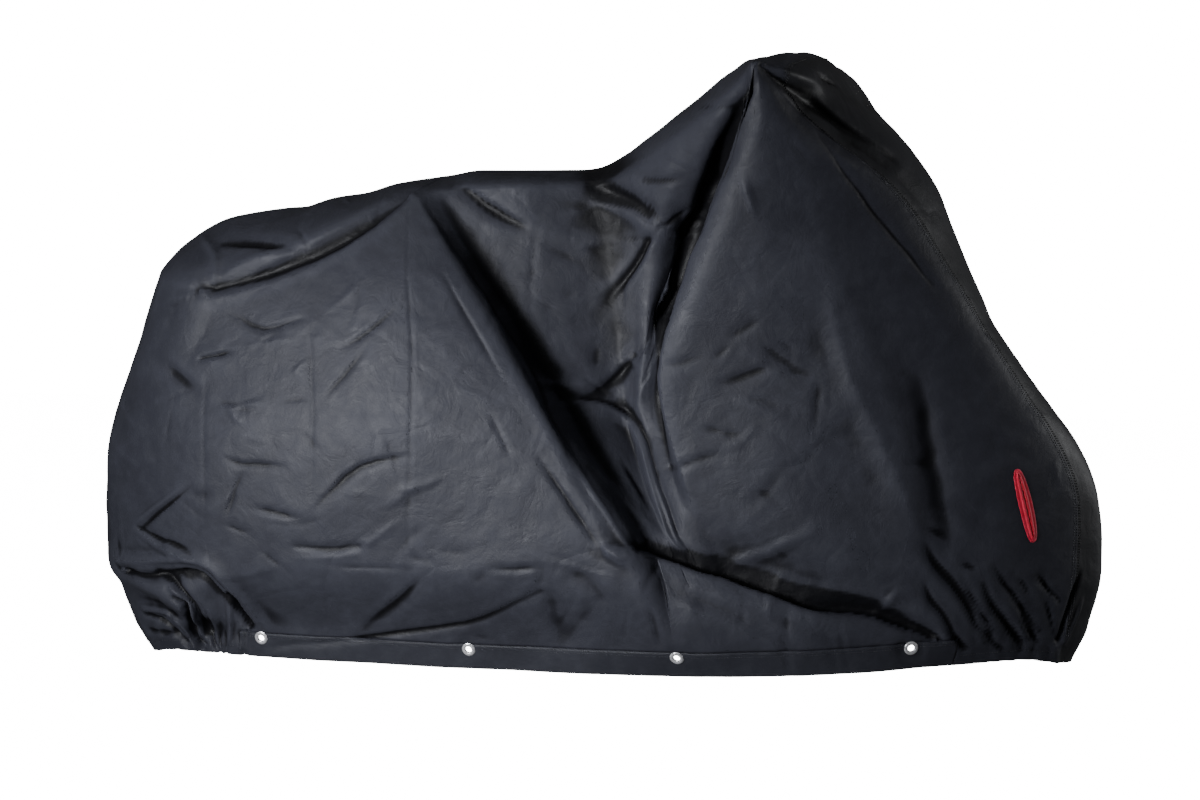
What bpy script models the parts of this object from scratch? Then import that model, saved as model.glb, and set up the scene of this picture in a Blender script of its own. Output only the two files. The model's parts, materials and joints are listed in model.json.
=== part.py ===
"""Fitted nylon cover for a bicycle, in the shape in which it hangs over one.

Metres, +X to the front of the bicycle, +Y to its left, +Z up.  The tables give
places from the rear axle and the ground.  The origin of the finished part is
ORIGIN, where the saddle carries the underside of the cloth.
"""

import math

import bmesh
import bpy
import numpy as np
from mathutils import Matrix, Vector

# Driving dimensions
ORIGIN = np.array([0.420, 0.0, 0.9855])
CLOTH = 0.002
SEAM_GAP = 0.0003

# Levels run from 0 at the hem to 1 at the centre line.  The shoulder is the edge
# of the top, and the other named heights are shares of the way up to it.
SHOULDER_LEVEL = 0.93
SIDE_SHARES = (0.0, 0.25, 0.5, 0.75, 1.0)
SKIRT_LEVEL = 0.075
SKIRT_FLARE = 1.08

# The strip along the hem, its rows as shares of its height, and the rows above it.
HEM_BAND = 0.044
BAND_LEVELS = (0.0, 0.14, 1.0)
ROWS = (0.0, 0.035, 0.07, 0.105, 0.14, 0.18, 0.225, 0.28, 0.34, 0.41, 0.48, 0.55,
        0.62, 0.69, 0.76, 0.82, 0.87, 0.91, 0.945, 0.972, 1.0)

EYELET_HEIGHT = 0.026
EYELET_HOLE_RADIUS = 0.0056
EYELET_BARREL_RADIUS = 0.0070
EYELET_FLANGE_RADIUS = 0.0118
EYELET_FLANGE = 0.0008
EYELET_GRIP = 0.0004
EYELET_SIDES = 18
EYELET_CELL = 0.016
EYELET_PLACES = {"1": -0.022, "2": 0.362, "3": 0.727, "4": 1.106}

SLOT_CENTRE = (1.283, 0.452)
SLOT_TILT = math.radians(22.0)
SLOT_LENGTH = 0.118
SLOT_WIDTH = 0.0180
SLOT_BULGE = 0.22
BINDING_WIDTH = 0.0070
BINDING_RADIUS = 0.0017
FLAT_TILT = math.radians(90.0)

# The centre line along the top, from the rear corner to the handlebar stem.
RIDGE = {
    "x": [-0.190, -0.143, -0.086, 0.027, 0.138, 0.247, 0.355, 0.470, 0.550, 0.600, 0.700, 0.800, 0.860, 0.905, 0.945],
    "z": [0.862, 0.888, 0.908, 0.925, 0.950, 0.975, 0.986, 0.988, 0.988, 1.010, 1.088, 1.161, 1.182, 1.186, 1.176],
}

# The lower edge, which rises from the rear wheel to the front one.
HEM = {
    "x": [-0.276, -0.200, -0.120, 0.100, 0.370, 0.750, 1.000, 1.150, 1.280, 1.370],
    "z": [0.118, 0.136, 0.140, 0.142, 0.147, 0.162, 0.176, 0.186, 0.190, 0.172],
}

# One row for each tension line of the cloth, from the rear edge round to the
# front edge.  x is along the bicycle, w is the half width there, and the levels
# are the shoulder, three heights down the side and the hem.
COLUMNS = ("cells", "top_x", "shoulder_x", "shoulder_w", "shoulder_z", "high_x", "high_w",
           "mid_x", "mid_w", "low_x", "low_w", "hem_x", "hem_w")
RIGHT_LINES = {
    "rear edge":     (3, -0.190, -0.232, 0.000, 0.815, -0.300, 0.000, -0.354, 0.000, -0.350, 0.000, -0.276, 0.000),
    "rear turn":     (3, -0.178, -0.203, 0.105, 0.800, -0.276, 0.080, -0.328, 0.075, -0.322, 0.070, -0.254, 0.055),
    "rear corner":   (4, -0.130, -0.103, 0.155, 0.787, -0.170, 0.150, -0.222, 0.140, -0.225, 0.130, -0.160, 0.100),
    "carrier":       (6, 0.020, 0.050, 0.150, 0.850, 0.020, 0.180, -0.040, 0.195, -0.070, 0.180, -0.066, 0.120),
    "side panel":    (5, 0.160, 0.170, 0.128, 0.912, 0.215, 0.190, 0.262, 0.215, 0.300, 0.210, 0.300, 0.150),
    "saddle ridge":  (3, 0.250, 0.262, 0.098, 0.948, 0.392, 0.165, 0.520, 0.205, 0.652, 0.226, 0.700, 0.188),
    "saddle valley": (3, 0.300, 0.310, 0.082, 0.952, 0.430, 0.082, 0.556, 0.112, 0.686, 0.165, 0.760, 0.190),
    "recess":        (3, 0.420, 0.425, 0.088, 0.962, 0.500, 0.080, 0.590, 0.100, 0.702, 0.160, 0.800, 0.190),
    "saddle nose":   (3, 0.545, 0.560, 0.070, 0.962, 0.590, 0.086, 0.622, 0.104, 0.716, 0.158, 0.835, 0.188),
    "neck":          (3, 0.690, 0.715, 0.165, 1.045, 0.678, 0.110, 0.648, 0.118, 0.726, 0.160, 0.870, 0.185),
    "bar valley":    (2, 0.815, 0.834, 0.262, 1.136, 0.728, 0.148, 0.662, 0.136, 0.738, 0.166, 0.900, 0.183),
    "bar ridge":     (4, 0.850, 0.852, 0.283, 1.156, 0.756, 0.205, 0.692, 0.162, 0.764, 0.176, 0.930, 0.180),
    "fan":           (4, 0.880, 0.860, 0.285, 1.157, 0.850, 0.236, 0.850, 0.206, 0.905, 0.196, 1.000, 0.168),
    "front wheel":   (4, 0.905, 0.868, 0.280, 1.154, 0.945, 0.222, 1.010, 0.190, 1.060, 0.184, 1.090, 0.150),
    "front side":    (4, 0.922, 0.880, 0.272, 1.150, 1.034, 0.178, 1.160, 0.142, 1.225, 0.140, 1.172, 0.128),
    "nose seam":     (4, 0.932, 0.900, 0.252, 1.146, 1.108, 0.125, 1.262, 0.080, 1.370, 0.052, 1.343, 0.050),
    "front edge":    (0, 0.940, 1.012, 0.000, 1.100, 1.166, 0.000, 1.300, 0.000, 1.411, 0.000, 1.370, 0.000),
}
LEFT_LINES = {
    "rear edge":     (3, -0.190, -0.232, 0.000, 0.815, -0.300, 0.000, -0.354, 0.000, -0.350, 0.000, -0.276, 0.000),
    "rear turn":     (3, -0.178, -0.203, 0.098, 0.802, -0.274, 0.082, -0.326, 0.078, -0.322, 0.072, -0.254, 0.055),
    "rear corner":   (4, -0.120, -0.098, 0.150, 0.792, -0.160, 0.152, -0.214, 0.145, -0.220, 0.132, -0.160, 0.100),
    "carrier":       (5, 0.060, 0.070, 0.146, 0.862, 0.040, 0.178, -0.010, 0.196, -0.060, 0.186, -0.066, 0.121),
    "saddle ridge":  (4, 0.250, 0.270, 0.104, 0.946, 0.315, 0.160, 0.350, 0.205, 0.390, 0.205, 0.380, 0.155),
    "recess":        (4, 0.430, 0.450, 0.080, 0.958, 0.490, 0.105, 0.530, 0.130, 0.585, 0.165, 0.600, 0.172),
    "neck":          (4, 0.640, 0.690, 0.120, 1.010, 0.690, 0.100, 0.700, 0.130, 0.740, 0.175, 0.780, 0.182),
    "bar ridge":     (4, 0.860, 0.938, 0.272, 1.152, 0.885, 0.205, 0.850, 0.190, 0.880, 0.195, 0.920, 0.180),
    "fan":           (4, 0.890, 0.952, 0.282, 1.158, 0.990, 0.232, 1.030, 0.192, 1.060, 0.186, 1.060, 0.156),
    "front side":    (4, 0.918, 0.962, 0.270, 1.152, 1.070, 0.172, 1.165, 0.140, 1.230, 0.132, 1.172, 0.128),
    "nose seam":     (4, 0.932, 0.972, 0.235, 1.146, 1.120, 0.115, 1.262, 0.080, 1.370, 0.052, 1.343, 0.050),
    "front edge":    (0, 0.940, 1.012, 0.000, 1.100, 1.166, 0.000, 1.300, 0.000, 1.411, 0.000, 1.370, 0.000),
}
STRIP_FROM, STRIP_TO = "carrier", "front side"

# The front bows out below the bar and in above the wheel by this much.
FRONT_BOW = 0.0135

# Folds drawn on the side view.  The path is in x, z.  A fold is `height` proud of
# the cloth (or sunk, when it is negative), `behind` and `ahead` wide on its two
# sides, and `start` and `end` strong at its ends.
FOLD_COLUMNS = ("path", "height", "behind", "ahead", "start", "end")
RIGHT_FOLDS = {
    "carrier tuck": (((-0.095, 0.792), (0.060, 0.846), (0.245, 0.938)), -0.014, 0.020, 0.024, 0.8, 0.2),
    "pedal roll": (((0.640, 0.330), (0.770, 0.300), (0.930, 0.268), (1.120, 0.226)), 0.022, 0.055, 0.090, 0.3, 0.1),
    "pedal trough": (((0.720, 0.375), (0.820, 0.350), (0.940, 0.318), (1.120, 0.266)), -0.020, 0.045, 0.035, 0.1, 0.1),
    "bar trough": (((0.838, 1.120), (0.790, 1.000), (0.720, 0.830), (0.672, 0.700)), -0.020, 0.030, 0.020, 0.2, 0.3),
    "nose tuck": (((0.885, 1.140), (0.960, 1.060), (1.070, 0.990)), -0.014, 0.024, 0.018, 0.2, 0.0),
    "rear roll": (((-0.335, 0.285), (-0.220, 0.262), (-0.135, 0.205), (-0.075, 0.165)), 0.018, 0.030, 0.022, 0.4, 0.3),
    "rear pocket": (((-0.150, 0.190), (-0.085, 0.180)), -0.020, 0.025, 0.025, 0.5, 0.5),
    "fan edge": (((0.930, 0.930), (1.060, 0.600), (1.120, 0.330)), 0.008, 0.030, 0.050, 0.0, 0.2),
}
LEFT_FOLDS = {
    "carrier tuck": (((-0.085, 0.800), (0.070, 0.856), (0.250, 0.936)), -0.012, 0.022, 0.024, 0.7, 0.2),
    "saddle fold": (((0.300, 0.900), (0.420, 0.640), (0.560, 0.420)), 0.018, 0.060, 0.040, 0.2, 0.1),
    "bar trough": (((0.900, 1.080), (0.820, 0.880), (0.760, 0.640)), -0.018, 0.035, 0.030, 0.2, 0.1),
    "fan edge": (((1.000, 0.960), (1.080, 0.640), (1.110, 0.350)), 0.010, 0.040, 0.050, 0.0, 0.2),
    "rear roll": (((-0.330, 0.300), (-0.215, 0.270), (-0.120, 0.215)), 0.014, 0.030, 0.024, 0.4, 0.2),
}

# The hem is drawn in by elastic at both ends, which pleats the cloth above it.
GATHERS = {
    "rear": {"from_x": -0.276, "to_x": -0.100, "height": 0.150, "depth": 0.007, "pleats": 5.5, "phase": 0.4},
    "front": {"from_x": 1.370, "to_x": 1.190, "height": 0.190, "depth": 0.008, "pleats": 6.5, "phase": 1.1},
}


def column(lines, name):
    return np.array([row[COLUMNS.index(name)] for row in lines.values()], float)


def slopes(knots, values, flat_ends):
    """Slopes of a curve that never overshoots the values (rows follow the knots)."""
    steps = np.diff(values, axis=0) / np.diff(knots).reshape(-1, *[1] * (values.ndim - 1))
    before, after = steps[:-1], steps[1:]
    turning = before * after <= 0.0
    total = np.where(turning, 1.0, before + after)
    inner = np.where(turning, 0.0, 2.0 * before * after / total)
    ends = (0.0 if flat_ends[0] else 1.0, 0.0 if flat_ends[1] else 1.0)
    return np.concatenate([steps[:1] * ends[0], inner, steps[-1:] * ends[1]])


def follow(knots, values, where, flat_ends=(False, False)):
    """The curve through `values` at `knots`, read at `where`.

    Further axes of `values` have to match the shape of `where`, or be missing.
    """
    knots = np.asarray(knots, float)
    values = np.asarray(values, float)
    where = np.clip(np.asarray(where, float), knots[0], knots[-1])
    rates = slopes(knots, values, flat_ends)
    piece = np.clip(np.searchsorted(knots, where, side="right") - 1, 0, len(knots) - 2)
    width = knots[piece + 1] - knots[piece]
    t = (where - knots[piece]) / width
    if values.ndim == 1:
        start, end, rate0, rate1 = values[piece], values[piece + 1], rates[piece], rates[piece + 1]
    else:
        pick = [np.take_along_axis(table, (piece + step)[None], axis=0)[0]
                for table in (values, rates) for step in (0, 1)]
        start, end, rate0, rate1 = pick
    return (start * (1.0 + 2.0 * t) * (1.0 - t) ** 2 + end * t * t * (3.0 - 2.0 * t)
            + width * (rate0 * t * (1.0 - t) ** 2 - rate1 * t * t * (1.0 - t)))


def smooth_step(value):
    value = np.clip(value, 0.0, 1.0)
    return value * value * (3.0 - 2.0 * value)


def distance_to_path(path, x, z):
    """Distance to a smooth path, which side of it a point is on, and how far along."""
    points = np.array(path, float)
    marks = np.linspace(0.0, 1.0, len(points))
    along = np.linspace(0.0, 1.0, 6 * (len(points) - 1) + 1)
    curve = np.stack([follow(marks, points[:, axis], along) for axis in (0, 1)], axis=-1)
    nearest = np.full(np.shape(x), 1.0e9)
    side = np.zeros(np.shape(x))
    share = np.zeros(np.shape(x))
    for index in range(len(curve) - 1):
        start, step = curve[index], curve[index + 1] - curve[index]
        dx, dz = x - start[0], z - start[1]
        t = np.clip((dx * step[0] + dz * step[1]) / (step @ step), 0.0, 1.0)
        away = np.hypot(dx - t * step[0], dz - t * step[1])
        closer = away < nearest
        nearest = np.where(closer, away, nearest)
        side = np.where(closer, np.sign(dx * step[1] - dz * step[0]), side)
        share = np.where(closer, along[index] + t * (along[1] - along[0]), share)
    return nearest, side, share


def fold_height(folds, x, z):
    total = np.zeros(np.shape(x))
    for row in folds.values():
        fold = dict(zip(FOLD_COLUMNS, row))
        away, side, share = distance_to_path(fold["path"], x, z)
        width = np.where(side > 0.0, fold["ahead"], fold["behind"])
        strength = np.interp(share, [0.0, 0.3, 0.7, 1.0], [fold["start"], 1.0, 1.0, fold["end"]])
        total += fold["height"] * strength * np.exp(-((away / width) ** 2))
    return total


def gather_height(x, z):
    total = np.zeros(np.shape(x))
    for gather in GATHERS.values():
        share = (x - gather["from_x"]) / (gather["to_x"] - gather["from_x"])
        rise = (z - follow(HEM["x"], HEM["z"], x)) / gather["height"]
        fade = smooth_step(1.3 - share) * smooth_step(1.0 - rise) * smooth_step(share * 5.0)
        turn = 2.0 * math.pi * gather["pleats"] * (share + 0.16 * share * share - 0.10 * rise) + gather["phase"]
        total += gather["depth"] * fade * (np.sin(turn) + 0.35 * np.sin(1.7 * turn + 0.8))
    return total


class Side:
    """One side of the cover as a surface of u (round it, by line) and v (hem to ridge)."""

    def __init__(self, lines, folds, sign):
        self.lines = lines
        self.folds = folds
        self.sign = sign
        self.names = list(lines)
        self.last = len(self.names) - 1

    def at(self, name, u, flat=False):
        return follow(np.arange(self.last + 1), column(self.lines, name), u, (flat, flat))

    def band(self, u):
        """The level at which the hem band ends."""
        rise = self.at("shoulder_z", u, True) - follow(HEM["x"], HEM["z"], self.at("hem_x", u, True))
        return SHOULDER_LEVEL * HEM_BAND / rise

    def draped(self, u, v):
        """The cloth before its folds, as x, z and half width."""
        s = SHOULDER_LEVEL
        levels = [*(s * share for share in SIDE_SHARES), 1.0]
        x = [self.at(name, u, True) for name in ("hem_x", "low_x", "mid_x", "high_x", "shoulder_x", "top_x")]
        w = [self.at(name, u) for name in ("hem_w", "low_w", "mid_w", "high_w", "shoulder_w")]
        hem_z = follow(HEM["x"], HEM["z"], x[0])
        top_z = follow(RIDGE["x"], RIDGE["z"], x[-1])
        shoulder_z = self.at("shoulder_z", u, True)
        flat_top = (False, True)
        px = follow(levels, np.stack(x), v, flat_top)
        skirt_w = SKIRT_FLARE * w[0]
        near_front = smooth_step((u - self.names.index("front side")) / 2.0)
        bow = np.sin(2.0 * math.pi * np.clip(2.0 * v / s - 1.0, 0.0, 1.0))
        px = px - FRONT_BOW * near_front * bow
        pw = follow([0.0, SKIRT_LEVEL, *levels[1:]], np.stack([w[0], skirt_w, *w[1:], np.zeros(np.shape(u))]), v)
        straight = [hem_z + share * (shoulder_z - hem_z) for share in SIDE_SHARES]
        pz = follow(levels, np.stack([*straight, top_z]), v, flat_top)
        return np.stack([px, self.sign * pw, pz], axis=-1)

    def outward(self, shape, u, v, step=0.004):
        """Unit normals of a surface function, also at its edges and its two closed corners."""
        corner = (v > 1.0 - step) & ((u < step) | (u > self.last - step))
        u = np.where(corner, np.clip(u, 0.3, self.last - 0.3), u)
        v = np.where(corner, 0.985, v)
        low_u, high_u = np.clip(u - step, 0.0, self.last), np.clip(u + step, 0.0, self.last)
        low_v, high_v = np.clip(v - step, 0.0, 1.0), np.clip(v + step, 0.0, 1.0)
        normal = np.cross(shape(high_u, v) - shape(low_u, v), shape(u, high_v) - shape(u, low_v))
        normal *= -self.sign
        on_plane = corner | (v > 1.0 - 1e-9) | (u < 1e-9) | (u > self.last - 1e-9)
        normal[..., 1] = np.where(on_plane, 0.0, normal[..., 1])
        return normal / np.linalg.norm(normal, axis=-1, keepdims=True)

    def surface(self, u, v):
        """The outside of the cloth with its folds and gathers."""
        base = self.draped(u, v)
        x, z = base[..., 0], base[..., 2]
        height = fold_height(self.folds, x, z) + gather_height(x, z)
        height *= smooth_step(np.abs(base[..., 1]) / 0.05)
        return base + self.outward(self.draped, u, v) * height[..., None]

    def walls(self, u, v):
        """The outside and the inside of the cloth."""
        outside = self.surface(u, v)
        return outside, outside - CLOTH * self.outward(self.surface, u, v)

    def columns_between(self, first, last):
        """Values of u along the lines from one named line to another."""
        start, end = self.names.index(first), self.names.index(last)
        cells = column(self.lines, "cells").astype(int)[start:end]
        pieces = [start + k + np.arange(n) / n for k, n in enumerate(cells)]
        return np.append(np.concatenate(pieces), float(end))

    def find(self, x, z):
        """The u and v at which the cloth is at x, z in the side view."""
        u, v = np.meshgrid(np.linspace(0.0, self.last, 341), np.linspace(0.0, 1.0, 161), indexing="ij")
        points = self.surface(u, v)
        for _ in range(4):
            miss = np.hypot(points[..., 0] - x, points[..., 2] - z)
            best = np.unravel_index(np.argmin(miss), miss.shape)
            du, dv = abs(u[1, 0] - u[0, 0]), abs(v[0, 1] - v[0, 0])
            u, v = np.meshgrid(np.linspace(u[best] - du, u[best] + du, 21),
                               np.linspace(v[best] - dv, v[best] + dv, 21), indexing="ij")
            u, v = np.clip(u, 0.0, self.last), np.clip(v, 0.0, 1.0)
            points = self.surface(u, v)
        miss = np.hypot(points[..., 0] - x, points[..., 2] - z)
        best = np.unravel_index(np.argmin(miss), miss.shape)
        return u[best], v[best]


def clear_scene():
    for item in list(bpy.data.objects):
        bpy.data.objects.remove(item, do_unlink=True)


def material(name, color, roughness, metallic=0.0):
    made = bpy.data.materials.new(name)
    made.use_nodes = True
    shader = made.node_tree.nodes["Principled BSDF"]
    shader.inputs["Base Color"].default_value = (*color, 1.0)
    shader.inputs["Roughness"].default_value = roughness
    shader.inputs["Metallic"].default_value = metallic
    return made


def add_object(name, mesh, surface, collection):
    mesh.materials.append(surface)
    made = bpy.data.objects.new(name, mesh)
    collection.objects.link(made)
    return made


def cloth_sheet(name, outside, inside, keep, surface, collection):
    """A closed sheet from two grids of points, where `keep` marks the cells that it has."""
    rows, cols = outside.shape[:2]
    index = np.arange(rows * cols).reshape(rows, cols)
    corners = (index[:-1, :-1], index[1:, :-1], index[1:, 1:], index[:-1, 1:])
    quads = np.stack(corners, axis=-1)[keep]
    edges = quads[:, [0, 1, 1, 2, 2, 3, 3, 0]].reshape(-1, 2)
    seen = {tuple(edge) for edge in edges.tolist()}
    rim = [edge for edge in seen if edge[::-1] not in seen]
    shift = rows * cols
    faces = quads.tolist() + (quads[:, ::-1] + shift).tolist()
    faces += [(b, a, a + shift, b + shift) for a, b in rim]
    points = np.concatenate([outside.reshape(-1, 3), inside.reshape(-1, 3)]) - ORIGIN
    mesh = bpy.data.meshes.new(name)
    mesh.from_pydata(points.tolist(), [], faces)
    shaped = bmesh.new()
    shaped.from_mesh(mesh)
    loose = [vertex for vertex in shaped.verts if not vertex.link_faces]
    bmesh.ops.delete(shaped, geom=loose, context="VERTS")
    bmesh.ops.triangulate(shaped, faces=shaped.faces)
    bmesh.ops.recalc_face_normals(shaped, faces=shaped.faces)
    shaped.to_mesh(mesh)
    shaped.free()
    mesh.shade_smooth()
    mesh.set_sharp_from_angle(angle=math.radians(50.0))
    return add_object(name, mesh, surface, collection)


def grid_levels(side, u):
    """Levels up the cloth at each u: through the hem band, then up to the ridge."""
    band = side.band(u)[:, None]
    return np.concatenate([band * np.array(BAND_LEVELS[:-1]), band + (1.0 - band) * np.array(ROWS)], axis=1)


def panel_columns(side):
    """Values of u for a side, with one flat cell of the band around each eyelet."""
    u = side.columns_between("rear edge", "nose seam")
    fixed = [side.names.index(STRIP_FROM), side.names.index(STRIP_TO)]
    fine = np.linspace(*fixed, 2001)
    hem_x = side.surface(fine, side.band(fine) * EYELET_HEIGHT / HEM_BAND)[:, 0]
    for x in EYELET_PLACES.values():
        left, right = np.interp([x - EYELET_CELL, x + EYELET_CELL], hem_x, fine)
        clear = 0.6 * (right - left)
        u = np.array([value for value in u if value in fixed or not left - clear < value < right + clear])
        u = np.sort(np.append(u, [left, right]))
    return u


def draw_in(outside, inside, first_row, by=SEAM_GAP):
    """Moves one edge row of a sheet squarely away from the seam, into the sheet."""
    edge, next_row = (0, 1) if first_row else (-1, -2)
    tangent = np.gradient(outside[edge], axis=0)
    across = np.cross(tangent, outside[edge] - inside[edge])
    across /= np.linalg.norm(across, axis=-1, keepdims=True)
    across *= np.sign(np.sum(across * (outside[next_row] - outside[edge]), axis=-1, keepdims=True))
    outside[edge] += by * across
    inside[edge] += by * across


def lift_off_plane(points, sign):
    """Keeps both sides of the centre plane half a seam gap apart."""
    points[..., 1] = sign * np.maximum(sign * points[..., 1], SEAM_GAP / 2.0)
    return points


def side_panel(name, side, surface, collection):
    """A side of the cover from the rear edge to the nose seam, cut out along the hem for its band."""
    u = panel_columns(side)
    from_u, to_u = side.names.index(STRIP_FROM), side.names.index(STRIP_TO)
    v = grid_levels(side, u)
    grid_u = np.repeat(u[:, None], v.shape[1], axis=1)
    keep = np.ones((len(u) - 1, v.shape[1] - 1), bool)
    middle = 0.5 * (u[:-1] + u[1:])
    keep[(middle > from_u) & (middle < to_u), :len(BAND_LEVELS) - 1] = False
    outside, inside = side.walls(grid_u, v)
    draw_in(outside, inside, False, SEAM_GAP / 2.0)
    lift_off_plane(outside, side.sign)
    lift_off_plane(inside, side.sign)
    return cloth_sheet(name, outside, inside, keep, surface, collection)


def eyelet_cell(side, columns, x):
    """The column of the band's flat cell around an eyelet."""
    places = side.surface(columns, side.band(columns) * EYELET_HEIGHT / HEM_BAND)[:, 0]
    return int(np.searchsorted(places, x)) - 1


def eyelet_frame(side, x):
    """Axes of an eyelet, set on the flat cell of the band around it."""
    columns = panel_columns(side)
    start = eyelet_cell(side, columns, x)
    u = np.array([[columns[start]] * 2, [columns[start + 1]] * 2])
    v = side.band(u) * np.array(BAND_LEVELS[1:])
    cell = side.surface(u, v)
    along = Vector(cell[1].mean(axis=0) - cell[0].mean(axis=0))
    out = Vector(np.cross(cell[1, 1] - cell[0, 0], cell[0, 1] - cell[1, 0])).normalized() * -side.sign
    up = out.cross(along).normalized()
    frame = Matrix((up.cross(out), up, out)).transposed().to_4x4()
    share = (EYELET_HEIGHT / HEM_BAND - BAND_LEVELS[1]) / (BAND_LEVELS[2] - BAND_LEVELS[1])
    low, high = cell.mean(axis=0)
    frame.translation = Vector(low * (1.0 - share) + high * share - ORIGIN) - out * (CLOTH / 2.0)
    return frame


def flatten_cell(outside, inside, start, frame):
    """Lays the four corners of an eyelet's cell in the eyelet's plane."""
    for wall, level in ((outside, CLOTH / 2.0), (inside, -CLOTH / 2.0)):
        for column in (start, start + 1):
            for row in (1, 2):
                local = frame.inverted() @ Vector(wall[column, row] - ORIGIN)
                local.z = level
                wall[column, row] = np.array(frame @ local) + ORIGIN


def hem_band(name, side, frames, surface, collection):
    """The strip along the hem that holds the eyelets."""
    u = panel_columns(side)
    u = u[(u >= side.names.index(STRIP_FROM)) & (u <= side.names.index(STRIP_TO))]
    levels = np.array(BAND_LEVELS)
    band = side.band(u)[:, None]
    v = band * levels[None, :]
    grid_u = np.repeat(u[:, None], v.shape[1], axis=1)
    keep = np.ones((len(u) - 1, v.shape[1] - 1), bool)
    outside, inside = side.walls(grid_u, v)
    draw_in(outside, inside, True)
    draw_in(outside, inside, False)
    draw_in(outside.swapaxes(0, 1), inside.swapaxes(0, 1), False)
    for number, frame in frames.items():
        flatten_cell(outside, inside, eyelet_cell(side, u, EYELET_PLACES[number]), frame)
    return cloth_sheet(name, outside, inside, keep, surface, collection)


def nose_panel(name, sides, surface, collection):
    """The panel over the bar and down the front, between the two nose seams."""
    halves = []
    for side in sides:
        u = side.columns_between("nose seam", "front edge")
        v = grid_levels(side, u)
        grid_u = np.repeat(u[:, None], v.shape[1], axis=1)
        half = side.walls(grid_u, v)
        draw_in(*half, True, SEAM_GAP / 2.0)
        halves.append(half)
    for half, side in zip(halves, sides):
        for wall in half:
            lift_off_plane(wall[:-1], side.sign)
    right, left = halves
    outside, inside = (np.concatenate([r, f[::-1][1:]], axis=0) for r, f in zip(right, left))
    keep = np.ones((outside.shape[0] - 1, outside.shape[1] - 1), bool)
    return cloth_sheet(name, outside, inside, keep, surface, collection)


def local_frame(side, u, v):
    """Axes at a place on the cloth: X along the hem, Y up the cloth and Z out of it."""
    u, v = np.array([u]), np.array([v])
    place = side.surface(u, v)[0] - ORIGIN
    out = Vector(side.outward(side.surface, u, v)[0])
    along = Vector((1.0, 0.0, 0.0))
    along = (along - along.dot(out) * out).normalized()
    up = out.cross(along)
    frame = Matrix((along, up, out)).transposed().to_4x4()
    frame.translation = Vector(place) - out * (CLOTH / 2.0)
    return frame


def turned_ring(name, profile, frame, surface, collection):
    """A closed profile of (radius, height) turned about the frame's Z axis."""
    mesh = bpy.data.meshes.new(name)
    count = len(profile)
    loop = [(index, (index + 1) % count) for index in range(count)]
    mesh.from_pydata([(radius, 0.0, height) for radius, height in profile], loop, [])
    ring = add_object(name, mesh, surface, collection)
    ring.matrix_world = frame
    screw = ring.modifiers.new("Turn", "SCREW")
    screw.steps = screw.render_steps = EYELET_SIDES
    screw.use_merge_vertices = True
    screw.merge_threshold = 0.00001
    screw.use_smooth_shade = False
    return ring


def hide_cutter(cutter, collection):
    for user in list(cutter.users_collection):
        user.objects.unlink(cutter)
    collection.objects.link(cutter)
    cutter.hide_render = True
    cutter.display_type = "WIRE"
    return cutter


def cut(solid, cutter):
    boolean = solid.modifiers.new(cutter.name, "BOOLEAN")
    boolean.operation = "DIFFERENCE"
    boolean.solver = "EXACT"
    boolean.object = cutter


def eyelet_profile():
    """Two flanges on a barrel, with the cloth between the flanges."""
    inner = CLOTH / 2.0 + EYELET_GRIP
    outer = inner + EYELET_FLANGE
    ease = 0.4 * EYELET_FLANGE
    return [
        (EYELET_HOLE_RADIUS, outer - ease), (EYELET_HOLE_RADIUS + ease, outer),
        (EYELET_FLANGE_RADIUS - ease, outer), (EYELET_FLANGE_RADIUS, inner),
        (EYELET_BARREL_RADIUS, inner), (EYELET_BARREL_RADIUS, -inner),
        (EYELET_FLANGE_RADIUS, -inner), (EYELET_FLANGE_RADIUS, -outer),
        (EYELET_HOLE_RADIUS, -outer),
    ]


def add_eyelet(label, frame, band, surface, collection, cutters):
    turned_ring(label, eyelet_profile(), frame, surface, collection)
    bpy.ops.mesh.primitive_cylinder_add(vertices=EYELET_SIDES, radius=EYELET_BARREL_RADIUS + SEAM_GAP,
                                        depth=8.0 * CLOTH)
    cutter = hide_cutter(bpy.context.object, cutters)
    cutter.name = label + "_hole"
    cutter.matrix_world = frame
    cut(band, cutter)


def slot_outline(grow):
    """A long loop with round ends, a little wider in the middle."""
    end_radius = SLOT_WIDTH / 2.0 * (1.0 - SLOT_BULGE)
    radius = end_radius + grow
    reach = SLOT_LENGTH / 2.0 - end_radius
    bulge = SLOT_WIDTH / 2.0 * SLOT_BULGE
    points = []
    for end in (1.0, -1.0):
        for turn in np.linspace(-90.0, 90.0, 7):
            angle = math.radians(turn)
            points.append((end * (reach + radius * math.cos(angle)), end * radius * math.sin(angle)))
        for share in (0.6, 0.2, -0.2, -0.6):
            points.append((end * reach * share, end * (radius + bulge * (1.0 - share * share))))
    return points


def slot_frame(side):
    """Axes of the lock slot: X along it, which leans with the front of the wheel, and Z out."""
    frame = local_frame(side, *side.find(*SLOT_CENTRE))
    lean = math.radians(90.0) + side.sign * -SLOT_TILT
    return frame @ Matrix.Rotation(lean, 4, "Z")


def slot_bow(side, frame):
    """How far the cloth bends away from the slot's plane at its two ends."""
    bow = []
    for end in (-1.0, 1.0):
        tip = frame @ Vector((end * SLOT_LENGTH / 2.0, 0.0, 0.0))
        u, v = side.find(tip.x + ORIGIN[0], tip.z + ORIGIN[2])
        local = frame.inverted() @ local_frame(side, u, v).translation
        bow.append(local.z)
    return bow


def bent(point, bow):
    share = point[0] / (SLOT_LENGTH / 2.0)
    return Vector((point[0], point[1], share * share * (bow[1] if share > 0.0 else bow[0])))


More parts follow.
